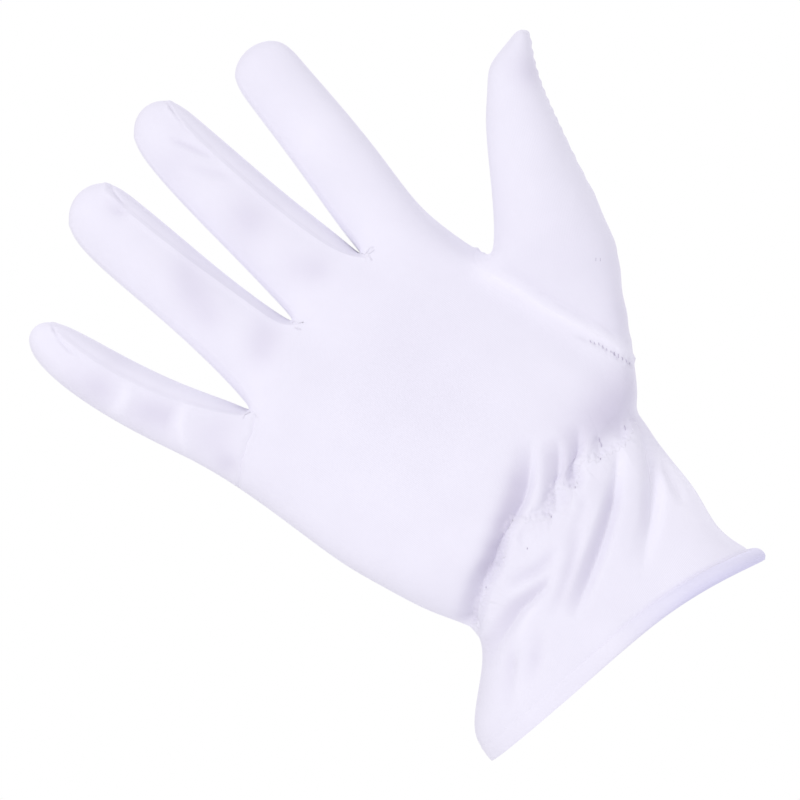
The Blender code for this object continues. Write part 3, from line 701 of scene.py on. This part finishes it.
def choose_steps(cage):
    """One step for each face of the cage: fine at the gathers, coarse away from them and from seams."""
    panels_at = {}
    for face in cage.polygons:
        for k in face.vertices:
            panels_at.setdefault(k, set()).add(face.material_index)
    steps = []
    for face in cage.polygons:
        above = face.center.z - wrist_height(2 * face.center.x / WRIST_WIDTH)
        plain = all(len(panels_at[k]) == 1 for k in face.vertices)
        if face.center.y < 0 and FINE_BAND[0] < above < FINE_BAND[1]:
            steps.append(BESIDE_GATHERS)
        elif plain and PLAIN_FROM < above < PLAIN_TO:
            steps.append(PLAIN)
        else:
            steps.append(ORDINARY)
    return steps


def point_grids(cage):
    """For each face of the cage, the points of the smooth surface over it, in rows."""
    inner = FINEST - 1
    edges = {}
    for edge in cage.edges:
        first = len(cage.vertices) + edge.index * inner
        run = np.arange(first, first + inner)
        edges[tuple(edge.vertices)] = run
        edges[tuple(edge.vertices)[::-1]] = run[::-1]
    first = len(cage.vertices) + len(cage.edges) * inner
    grids = []
    for face in cage.polygons:
        c = face.vertices
        grid = np.empty((FINEST + 1, FINEST + 1), int)
        grid[0, 0], grid[0, -1], grid[-1, -1], grid[-1, 0] = c
        grid[0, 1:-1] = edges[c[0], c[1]]
        grid[1:-1, -1] = edges[c[1], c[2]]
        grid[-1, 1:-1] = edges[c[3], c[2]]
        grid[1:-1, 0] = edges[c[0], c[3]]
        start = first + face.index * inner * inner
        grid[1:-1, 1:-1] = np.arange(start, start + inner * inner).reshape(inner, inner)
        grids.append(grid)
    return grids


def cell_corners(u, v, step, sides):
    """Corners of one cell, with the finer points of a neighbour where it has them."""
    out = [(a, v) for a in range(u, u + step, sides[0] if v == 0 else step)]
    out += [(u + step, b) for b in range(v, v + step, sides[1] if u + step == FINEST else step)]
    out += [(a, v + step) for a in range(u + step, u, -(sides[2] if v + step == FINEST else step))]
    out += [(u, b) for b in range(v + step, v, -(sides[3] if u == 0 else step))]
    return out


class Cloth:
    """The whole surface: its points, and its polygons as runs of corners with a panel each."""

    def __init__(self):
        cage = cage_mesh()
        self.points = smooth_points(cage)
        steps = choose_steps(cage)
        grids = point_grids(cage)
        corners, counts, panels, places = [], [], [], []
        neighbours = {}
        for face in cage.polygons:
            for edge in face.edge_keys:
                neighbours.setdefault(edge, []).append(face.index)
        layer = cage.uv_layers["knit"].uv
        for face in cage.polygons:
            step, grid = steps[face.index], grids[face.index]
            sides = [min(steps[f] for f in neighbours[edge]) for edge in face.edge_keys]
            for v in range(0, FINEST, step):
                for u in range(0, FINEST, step):
                    cell = cell_corners(u, v, step, sides)
                    corners.extend(int(grid[b, a]) for a, b in cell)
                    counts.append(len(cell))
                    panels.append(face.material_index)
                    places.extend((face.index, a, b) for a, b in cell)
        places = np.array(places)
        quad_places = np.array([[layer[k].vector[:] for k in face.loop_indices] for face in cage.polygons])
        a, b = places[:, 1:2] / FINEST, places[:, 2:3] / FINEST
        own = quad_places[places[:, 0]]
        self.places = between(between(own[:, 0], own[:, 1], a), between(own[:, 3], own[:, 2], a), b)
        used, self.corners = np.unique(np.array(corners), return_inverse=True)
        self.points = bend_root(self.points[used])
        self.counts = np.array(counts)
        self.starts, self.owner, self.following = runs(self.counts)
        self.panels = np.array(panels)
        bpy.data.meshes.remove(cage)
        self.smooth_normals = self.normals()

    def normals(self):
        here, ahead = self.points[self.corners], self.points[self.corners[self.following]]
        middle = (np.add.reduceat(here, self.starts) / self.counts[:, None])[self.owner]
        faces = np.add.reduceat(np.cross(here - middle, ahead - middle), self.starts)
        out = np.zeros_like(self.points)
        for axis in range(3):
            out[:, axis] = np.bincount(self.corners, faces[self.owner, axis], len(self.points))
        return unit(out)

    def push_in(self, depth):
        self.points -= depth[:, None] * self.smooth_normals

    def tree(self):
        polygons = np.split(self.corners, self.starts[1:])
        return BVHTree.FromPolygons(self.points.tolist(), [p.tolist() for p in polygons])

    def rim(self):
        """The points on the open edge of the cuff."""
        ends = np.sort(np.stack((self.corners, self.corners[self.following]), axis=1), axis=1)
        edges, uses = np.unique(ends, axis=0, return_counts=True)
        return np.unique(edges[uses == 1])

    def touched(self, panel):
        """Whether each point is a panel's."""
        mask = np.zeros(len(self.points), bool)
        mask[self.corners[(self.panels == panel)[self.owner]]] = True
        return mask

    def distances(self, near, members):
        """How far some points are from the nearest of others, in millimetres."""
        tree = KDTree(len(members))
        for k in members:
            tree.insert(self.points[k], int(k))
        tree.balance()
        return np.array([tree.find(self.points[k])[2] for k in near]) / MM


def along_line(x, z, line):
    """Distance of every point from a broken line, positive on its left, with the place along it."""
    signed = np.full(len(x), np.inf)
    place, share = np.zeros(len(x)), np.zeros(len(x))
    run = 0.0
    for start, end in zip(line, line[1:]):
        step = np.array(end[:2]) - start[:2]
        length = np.linalg.norm(step)
        hx, hz = x - start[0], z - start[1]
        t = np.clip((hx * step[0] + hz * step[1]) / length**2, 0, 1)
        away = np.hypot(hx - t * step[0], hz - t * step[1])
        side = np.where(hx * step[1] - hz * step[0] >= 0, 1, -1)
        nearer = away < np.abs(signed)
        signed[nearer] = (away * side)[nearer]
        place[nearer] = (run + t * length)[nearer]
        if len(start) > 2:
            share[nearer] = (start[2] + t * (end[2] - start[2]))[nearer]
        run += length
    return signed, place, share


def lay_creases(cloth):
    """Push the creases and hollows in, and say how much painted shade or painted light each point gets."""
    x, z = cloth.points[:, 0] / MM, cloth.points[:, 2] / MM
    facing = cloth.smooth_normals[:, 1]
    depth, grey = np.zeros(len(x)), np.zeros(len(x))
    for crease in CREASES:
        line = np.array(crease.points)[:, :2]
        reach = 3 * max(crease.left, crease.right)
        near = (x > line[:, 0].min() - reach) & (x < line[:, 0].max() + reach)
        near &= (z > line[:, 1].min() - reach) & (z < line[:, 1].max() + reach)
        near = np.flatnonzero(near & (crease.side * facing > 0))
        away, _, share = along_line(x[near], z[near], crease.points)
        part = away / np.where(away > 0, crease.left, crease.right)
        profile = hill(part)
        if crease.flat:
            slope = (1 - part + np.sqrt((1 - part) ** 2 + 0.16)) / (1 + math.sqrt(1.16))
            profile = np.where(away > 0, slope, profile)
            # painted shade down the crease's falling side, strongest near its floor
            shade = 2 * CREASE_SHADE / (1 + np.exp(-5 * (1 - part))) / (1 + np.exp(-14 * (part + 0.15)))
        elif crease.depth > 0:
            shade = CREASE_SHADE * min(1, crease.depth) * hill(1.3 * part - 0.3)
        else:
            # a raised crease gets a painted highlight along its crest
            shade = -RIDGE_HIGHLIGHT * min(1, -crease.depth) * profile
        share = share * np.clip(crease.side * facing[near] / SIDE_FADE, 0, 1)
        depth[near] += crease.depth * share * profile
        grey[near] += shade * share
    share = np.clip(-facing / SIDE_FADE, 0, 1)
    # each spot paints shade into its hollow, or paints light where its painted shade is below zero
    for spot in SPOTS:
        hollow = hill(np.hypot(x - spot.across, z - spot.up), spot.reach) * share
        depth += spot.depth * hollow
        grey += spot.grey * hollow
    cloth.push_in(depth * MM)
    return np.clip(grey, 0, 1), np.clip(-grey, 0, 1)


def gather(cloth):
    """Draw the wrist in along the gathers' edge, with a ragged shelf below it and puckers beside it."""
    x, z = cloth.points[:, 0] / MM, cloth.points[:, 2] / MM
    facing = cloth.smooth_normals[:, 1]
    depth = np.zeros(len(x))
    for side, edge in GATHER_EDGES.items():
        near = np.flatnonzero((side * cloth.points[:, 1] > 0) & (np.abs(z) < GATHER_BAND))
        away, place, _ = along_line(x[near], z[near], edge)
        above = -away - 0.24 * wave(place, 1.7, 1.8 * wave(place, 9.0)) - 0.30 * wave(place, 6.1, 1.0)
        strength = 0.8 + 0.2 * wave(place, 23.0, 0.5)
        strength *= 1 - 0.7 * np.clip((x[near] - 24) / 10, 0, 1)
        total = DIP * hill(above - 1.2, 1.3) - SHELF * hill(above, np.where(above > 0, 0.7, 6.0))
        total = strength * (total - LIP * hill(above + 0.9))
        puckers = wave(place, 3.7, 2.4 * wave(place, 13.0) + math.pi / 2)
        total += PUCKER * puckers * hill(above + 2.0, 2.6)
        depth[near] += total * (0.1 + 0.9 * np.clip(side * facing[near] / 0.3, 0, 1))
    above = (cloth.points[:, 2] - wrist_height(2 * cloth.points[:, 0] / WRIST_WIDTH)) / GATHER_REACH
    depth += GRIP_DEPTH / MM * hill(2 * above) * np.clip(facing + 0.2, 0.4, 1)
    cloth.push_in(depth * MM)


def raise_seams(cloth):
    """Raise a ridge along each seam with a groove on it, and keep the stronger change where two meet."""
    depth = np.zeros(len(cloth.points))
    for seam in SEAMS:
        shared = np.flatnonzero(cloth.touched(seam.first) & cloth.touched(seam.second))
        if not len(shared):
            continue
        reach = 3 * seam.reach * MM
        low = cloth.points[shared].min(axis=0) - reach
        high = cloth.points[shared].max(axis=0) + reach
        near = np.flatnonzero(((cloth.points > low) & (cloth.points < high)).all(axis=1))
        away = cloth.distances(near, shared)
        change = (seam.groove * hill(away, SEAM_GROOVE) - seam.ridge * hill(away, seam.reach)) * MM
        stronger = np.abs(change) > np.abs(depth[near])
        depth[near[stronger]] = change[stronger]
    cloth.push_in(depth)


def roll_hem(cloth):
    """Round the hem outwards, high towards the thumb and low towards the little finger, and say where its
    rolled-under side gets painted shade.
    """
    rim = cloth.rim()
    near = np.flatnonzero(cloth.points[:, 2] < cloth.points[rim, 2].max() + 3 * HEM_ROLL * MM)
    height = cloth.distances(near, rim) / HEM_ROLL
    x = cloth.points[near, 0] / MM
    fullness = between(0.12, 1, np.clip((x + 30) / 45, 0, 1))
    roll = np.sqrt(np.clip(1 - (2 * height - 1) ** 2, 0, 1)) * (height < 1)
    depth = np.zeros(len(cloth.points))
    depth[near] = (HEM_GROOVE * hill(height - 1.06, 0.10) - roll * HEM_BULGE) * MM * fullness
    cloth.push_in(depth)
    # painted shade on the rolled hem's underside, stronger towards the thumb and towards the rim
    painted_hem_shade = np.zeros(len(cloth.points))
    share = np.clip((x + 12) / 24, 0, 1) * (0.55 + 0.45 * np.clip(1 - 2 * height, 0, 1))
    painted_hem_shade[near] = share * np.clip((1.12 - height) / 0.2, 0, 1)
    return painted_hem_shade


def serrate_thumb(cloth):
    """Raise the nicked seam down the thumb's outer edge, and fill its two sides out."""
    outwards = np.array((math.sin(THUMB_HEADING), 0, -math.cos(THUMB_HEADING)))
    along = np.array((math.cos(THUMB_HEADING), 0, math.sin(THUMB_HEADING)))
    in_thumb = cloth.touched(THUMB)
    sideways = cloth.smooth_normals @ outwards
    nicks = THUMB_RIDGE + NICK * wave(cloth.points @ along / MM, NICK_LENGTH)
    rise = nicks * hill(cloth.smooth_normals[:, 1], NICK_WIDTH) * (in_thumb & (sideways > 0.5))
    for fill in THUMB_FILLS:
        away = np.linalg.norm(cloth.points[:, ::2] / MM - (fill.across, fill.up), axis=1)
        rise -= fill.depth * in_thumb * np.abs(sideways) * hill(away, fill.reach)
    cloth.push_in(-rise * MM)


def surface_at(tree, x, z, side=-1):
    """The cloth's point and normal at a place in millimetres, seen from the palm side or the back."""
    point, normal, _, _ = tree.ray_cast(Vector((x * MM, side * 0.2, z * MM)), Vector((0, -side, 0)))
    if point is None:
        return None
    return point, normal if normal.y * side > 0 else -normal


def add_thread(bm, path, radius):
    """A round thread through the points of a path, closed at both ends."""
    rings = []
    for n, point in enumerate(path):
        ahead = (path[min(n + 1, len(path) - 1)] - path[max(n - 1, 0)]).normalized()
        first = ahead.orthogonal().normalized()
        second = ahead.cross(first)
        size = radius * (0.6 if n in (0, len(path) - 1) else 1) * MM
        turns = [math.tau * k / 6 for k in range(6)]
        around = [size * (math.cos(a) * first + math.sin(a) * second) for a in turns]
        rings.append([bm.verts.new(point + out) for out in around])
    for lower, upper in zip(rings, rings[1:]):
        for k in range(6):
            bm.faces.new((lower[k], lower[(k + 1) % 6], upper[(k + 1) % 6], upper[k]))
    bm.faces.new(rings[0][::-1])
    bm.faces.new(rings[-1])


def add_stitch(bm, tree, start, end, radius, rise, side=-1):
    """One stitch over the cloth between two places, its ends sunk into it."""
    path = []
    for n, height in enumerate((-0.10, rise, rise, -0.10)):
        x, z = (between(a, b, n / 3) for a, b in zip(start, end))
        found = surface_at(tree, x, z, side)
        if found is None:
            return
        path.append(found[0] + found[1] * height * MM)
    if max((a - b).length for a, b in zip(path, path[1:])) < 1.5 * MM:
        add_thread(bm, path, radius)


def along_path(line, step):
    """Places at even steps along a broken line, each with the direction there."""
    points = [Vector(p[:2]) for p in line]
    out, left = [], step / 2
    for a, b in zip(points, points[1:]):
        length = (b - a).length
        while left < length:
            out.append((a + (b - a) * left / length, (b - a) / length))
            left += step
        left -= length
    return out


def edge_stitches(tree, material):
    """The zigzag of thread that holds the gathers."""
    bm = bmesh.new()
    for side, edge in GATHER_EDGES.items():
        zigzag = []
        for n, (place, ahead) in enumerate(along_path(edge[1:-1], STITCH_STEP)):
            below = Vector((ahead.y, -ahead.x))
            zigzag.append(place + below * (0.2 if n % 2 else 1.4))
        for a, b in zip(zigzag, zigzag[1:]):
            add_stitch(bm, tree, a, b, 0.13, -0.01, side)
    thread_piece("edge_stitches", bm, material)


def loose_stitches(tree, material):
    """The stitches in the darker thread on the palm side, which is painted shadow in the seam's gaps and
    beside the stitches.
    """
    bm = bmesh.new()
    for n, (place, ahead) in enumerate(along_path(DARK_SEAM, 1.3)):
        across = Vector((ahead.y, -ahead.x)) * (0.30 + 0.25 * (n * 7 % 5) / 4) + ahead * 0.40
        add_stitch(bm, tree, place - across, place + across, 0.11, 0.08)
    for dark in DARK_STITCHES:
        for x, z in dark.places:
            back, ahead = dark.back, dark.ahead
            start, end = (x - back[0], z - back[1]), (x + ahead[0], z + ahead[1])
            add_stitch(bm, tree, start, end, dark.radius, dark.rise)
    thread_piece("loose_stitches", bm, material)


def thread_ends(tree, material):
    """The cut ends of thread at the roots of the fingers."""
    bm = bmesh.new()
    for end in THREAD_ENDS:
        path = []
        for n, (x, z) in enumerate(end):
            found = surface_at(tree, x, z)
            if found:
                path.append(found[0] + found[1] * (0.05 + 0.12 * n) * MM)
        if len(path) == 3 and max((a - b).length for a, b in zip(path, path[1:])) < 5 * MM:
            add_thread(bm, path, 0.15)
    thread_piece("thread_ends", bm, material)


def thread_piece(name, bm, material):
    mesh = new_mesh(name, bm)
    mesh.shade_smooth()
    mesh.materials.append(material)
    piece = add_object(name, mesh)
    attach(piece, "root")


def panel_piece(cloth, panel, material, tints):
    """One panel of the cloth, its edges drawn back to open the seams and given its thickness."""
    chosen = cloth.panels == panel
    in_loops = chosen[cloth.owner]
    used, flat = np.unique(cloth.corners[in_loops], return_inverse=True)
    counts = cloth.counts[chosen]
    starts, owner, following = runs(counts)
    points = cloth.points[used]
    middles = np.add.reduceat(points[flat], starts) / counts[:, None]
    ends = np.sort(np.stack((flat, flat[following]), axis=1), axis=1)
    _, first, uses = np.unique(ends, axis=0, return_index=True, return_counts=True)
    rim = first[uses == 1]
    a, b = flat[rim], flat[following[rim]]
    along = unit(points[b] - points[a])
    inward = middles[owner[rim]] - points[a]
    inward = unit(inward - (inward * along).sum(axis=1, keepdims=True) * along)
    shift = np.zeros_like(points)
    for ends_of_rim in (a, b):
        for axis in range(3):
            shift[:, axis] += np.bincount(ends_of_rim, inward[:, axis], len(points))
    clear = np.linalg.norm(shift, axis=1, keepdims=True) > 0.1
    points += np.where(clear, unit(shift), 0) * SEAM_OPEN / 2
    name, width, length, area = PANELS[panel]
    mesh = bpy.data.meshes.new("cloth_" + name)
    mesh.from_pydata(points.tolist(), [], [p.tolist() for p in np.split(flat, starts[1:])])
    places = cloth.places[in_loops].astype(np.float32).ravel()
    mesh.uv_layers.new(name="knit").uv.foreach_set("vector", places)
    for tint, values in tints.items():
        mesh.attributes.new(tint, "FLOAT", "POINT").data.foreach_set("value", values[used].astype(np.float32))
    mesh.shade_smooth()
    border = set(map(tuple, ends[rim].tolist()))
    sharp = [tuple(sorted(edge.vertices)) in border for edge in mesh.edges]
    mesh.attributes.new("sharp_edge", "BOOLEAN", "EDGE").data.foreach_set("value", sharp)
    mesh.materials.append(material)
    piece = add_object("cloth_" + name, mesh)
    shell = piece.modifiers.new("thickness", "SOLIDIFY")
    shell.thickness = SHELL
    shell.offset = -1
    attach(piece, "root")
    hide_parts(name)


class Shader:
    """A material whose colour wanders between two tints, with short ways to add and join its nodes."""

    def __init__(self, name, roughness, scale, low, high, ends=(0, 1), detail=2):
        self.material = bpy.data.materials.new(name)
        self.material.use_nodes = True
        self.tree = self.material.node_tree
        self.inputs = self.tree.nodes["Principled BSDF"].inputs
        self.inputs["Roughness"].default_value = roughness
        ramp = self.tree.nodes.new("ShaderNodeValToRGB")
        for element, place, color in zip(ramp.color_ramp.elements, ends, (low, high)):
            element.position = place
            element.color = (*color, 1)
        self.join(self.noise(scale, detail), ramp.inputs["Fac"])
        self.color = ramp.outputs["Color"]
        self.join(self.color, self.inputs["Base Color"])

    def join(self, source, socket):
        self.tree.links.new(source, socket)

    def noise(self, scale, detail):
        noise, place = (self.tree.nodes.new("ShaderNode" + kind) for kind in ("TexNoise", "TexCoord"))
        noise.inputs["Scale"].default_value = scale
        noise.inputs["Detail"].default_value = detail
        self.join(place.outputs["Object"], noise.inputs["Vector"])
        return noise.outputs["Fac"]

    def math(self, kind, *values):
        return math_node(self.tree, kind, *values)


def math_node(tree, kind, *values):
    """The result of a sum on values that are numbers or the outputs of other nodes."""
    node = tree.nodes.new("ShaderNodeMath")
    node.operation = kind
    for socket, value in zip(node.inputs, values):
        if isinstance(value, (int, float)):
            socket.default_value = value
        else:
            tree.links.new(value, socket)
    return node.outputs[0]


def cotton():
    tints = (0.835, 0.825, 0.895), (0.860, 0.850, 0.920)
    shader = Shader("white_cotton_knit", 0.88, 60, *tints, (0.3, 0.7), 3)
    shader.inputs["Specular IOR Level"].default_value = 0.2
    shader.inputs["Sheen Weight"].default_value = 0.15
    shader.inputs["Sheen Roughness"].default_value = 0.5
    nodes = shader.tree.nodes
    color = shader.color
    # mix in the painted shade, the painted light and the hem's painted shade from the cloth's attributes
    for name, tint in TINTS.items():
        share, mix = nodes.new("ShaderNodeAttribute"), nodes.new("ShaderNodeMix")
        share.attribute_name = name
        mix.data_type = "RGBA"
        shader.join(share.outputs["Fac"], mix.inputs["Factor"])
        shader.join(color, mix.inputs["A"])
        mix.inputs["B"].default_value = (*tint, 1)
        color = mix.outputs["Result"]
    shader.join(color, shader.inputs["Base Color"])

    place, split = nodes.new("ShaderNodeUVMap"), nodes.new("ShaderNodeSeparateXYZ")
    place.uv_map = "knit"
    shader.join(place.outputs["UV"], split.inputs[0])
    column = shader.math("MULTIPLY", split.outputs["X"], math.pi / KNIT_PITCH)
    wale = shader.math("ABSOLUTE", shader.math("SINE", column))
    row = shader.math("MULTIPLY", split.outputs["Y"], math.tau / (0.8 * KNIT_PITCH))
    course = shader.math("ADD", row, shader.math("MULTIPLY", wale, 1.4))
    knit = shader.math("ADD", wale, shader.math("MULTIPLY", shader.math("SINE", course), 0.3))
    bump = nodes.new("ShaderNodeBump")
    bump.inputs["Strength"].default_value = 0.11
    bump.inputs["Distance"].default_value = 0.1 * MM
    fuzz = shader.math("MULTIPLY", shader.noise(900, 2), 0.8)
    shader.join(shader.math("ADD", knit, fuzz), bump.inputs["Height"])
    shader.join(bump.outputs["Normal"], shader.inputs["Normal"])
    return shader.material


def thread_material(name, color):
    return Shader(name, 0.8, 2500, [0.88 * c for c in color], color).material


# Camera: where the photograph looks from, and what its frame takes in
FRAME_WIDTH = 231.9 * MM
CAMERA_ROLL = math.radians(44)
CAMERA_DISTANCE = 1.5
CAMERA_AIM = Vector((-8.8 * MM, 0, 56.4 * MM))

# The light from all round, and how it changes along each direction. The camera sees plain white behind.
AMBIENT = 0.73
AMBIENT_SHARES = {"Z": 0.10, "X": 0.10, "Y": -0.11}
AMBIENT_ENDS = 0.13  # more from the front and from behind than from the sides

Light = namedtuple("Light", "name place power color")
LIGHTS = (
    Light("key", (-0.70, -1.05, 0.64), 3.8, (1.0, 0.985, 1.0)),
    Light("behind", (0.70, 1.05, 0.75), 3.4, (0.97, 0.97, 1.0)),
)
LIGHT_TARGET = Vector((0, 0, 0.06))
LIGHT_SIZE = 0.5
FLOOR_HEIGHT = -0.24
FLOOR_RADIUS = 0.9


def add_camera():
    data = bpy.data.cameras.new("camera")
    data.lens = data.sensor_width * CAMERA_DISTANCE / FRAME_WIDTH
    data.clip_end = 20
    right = Vector((math.cos(CAMERA_ROLL), 0, -math.sin(CAMERA_ROLL)))
    up = Vector((math.sin(CAMERA_ROLL), 0, math.cos(CAMERA_ROLL)))
    back = Vector((0, -1, 0))
    camera = add_object("camera", data)
    turn = Matrix((right, up, back)).transposed().to_4x4()
    camera.matrix_world = Matrix.Translation(CAMERA_AIM + CAMERA_DISTANCE * back) @ turn
    bpy.context.scene.camera = camera


def add_lights():
    for light in LIGHTS:
        data = bpy.data.lights.new(light.name, "AREA")
        data.shape = "DISK"
        data.size = LIGHT_SIZE
        data.energy = light.power
        data.color = light.color
        lamp = add_object(light.name, data)
        lamp.location = light.place
        lamp.rotation_euler = (LIGHT_TARGET - Vector(light.place)).to_track_quat("-Z", "Y").to_euler()


def add_world():
    world = bpy.data.worlds.new("studio")
    bpy.context.scene.world = world
    world.use_nodes = True
    tree = world.node_tree
    way, split, white, path, mix = (tree.nodes.new("ShaderNode" + kind) for kind in (
        "TexCoord", "SeparateXYZ", "Background", "LightPath", "MixShader"))
    tree.links.new(way.outputs["Generated"], split.inputs[0])
    strength = AMBIENT
    for axis, share in AMBIENT_SHARES.items():
        strength = math_node(tree, "MULTIPLY_ADD", split.outputs[axis], share, strength)
    ends = math_node(tree, "ABSOLUTE", split.outputs["Y"])
    strength = math_node(tree, "MULTIPLY_ADD", ends, AMBIENT_ENDS, strength)
    ambient = tree.nodes["Background"]
    ambient.inputs["Color"].default_value = (0.96, 0.94, 1.0, 1)
    tree.links.new(strength, ambient.inputs["Strength"])
    white.inputs["Color"].default_value = (1, 1, 1, 1)
    tree.links.new(path.outputs["Is Camera Ray"], mix.inputs["Fac"])
    tree.links.new(ambient.outputs[0], mix.inputs[1])
    tree.links.new(white.outputs[0], mix.inputs[2])
    tree.links.new(mix.outputs[0], tree.nodes["World Output"].inputs["Surface"])


def add_floor():
    bm = bmesh.new()
    bmesh.ops.create_circle(bm, cap_ends=True, segments=96, radius=FLOOR_RADIUS)
    mesh = new_mesh("floor", bm)
    mesh.materials.append(Shader("pale_floor", 0.9, 8, (0.89, 0.89, 0.91), (0.91, 0.91, 0.93)).material)
    floor = add_object("floor", mesh)
    floor.location.z = FLOOR_HEIGHT


def main():
    cloth = Cloth()
    grey, painted_light = lay_creases(cloth)
    gather(cloth)
    raise_seams(cloth)
    serrate_thumb(cloth)
    painted_hem_shade = roll_hem(cloth)
    material = cotton()
    for panel in range(len(PANELS)):
        panel_piece(cloth, panel, material, {"grey": grey, "painted_light": painted_light, "painted_hem_shade": painted_hem_shade})
    tree = cloth.tree()
    white = thread_material("white_thread", (0.88, 0.87, 0.93))
    edge_stitches(tree, white)
    # the grey thread is painted shadow
    loose_stitches(tree, thread_material("painted_shadow_thread", (0.60, 0.56, 0.68)))
    thread_ends(tree, white)
    add_camera()
    add_world()
    add_lights()
    add_floor()
    view = bpy.context.scene.view_settings
    view.view_transform = "Standard"
    view.look = "None"


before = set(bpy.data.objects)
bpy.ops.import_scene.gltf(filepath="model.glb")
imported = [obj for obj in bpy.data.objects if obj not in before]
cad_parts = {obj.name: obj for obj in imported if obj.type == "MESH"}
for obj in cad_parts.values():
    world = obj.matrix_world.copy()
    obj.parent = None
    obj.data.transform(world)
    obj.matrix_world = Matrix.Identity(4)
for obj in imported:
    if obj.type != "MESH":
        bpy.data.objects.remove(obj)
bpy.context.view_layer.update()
main()
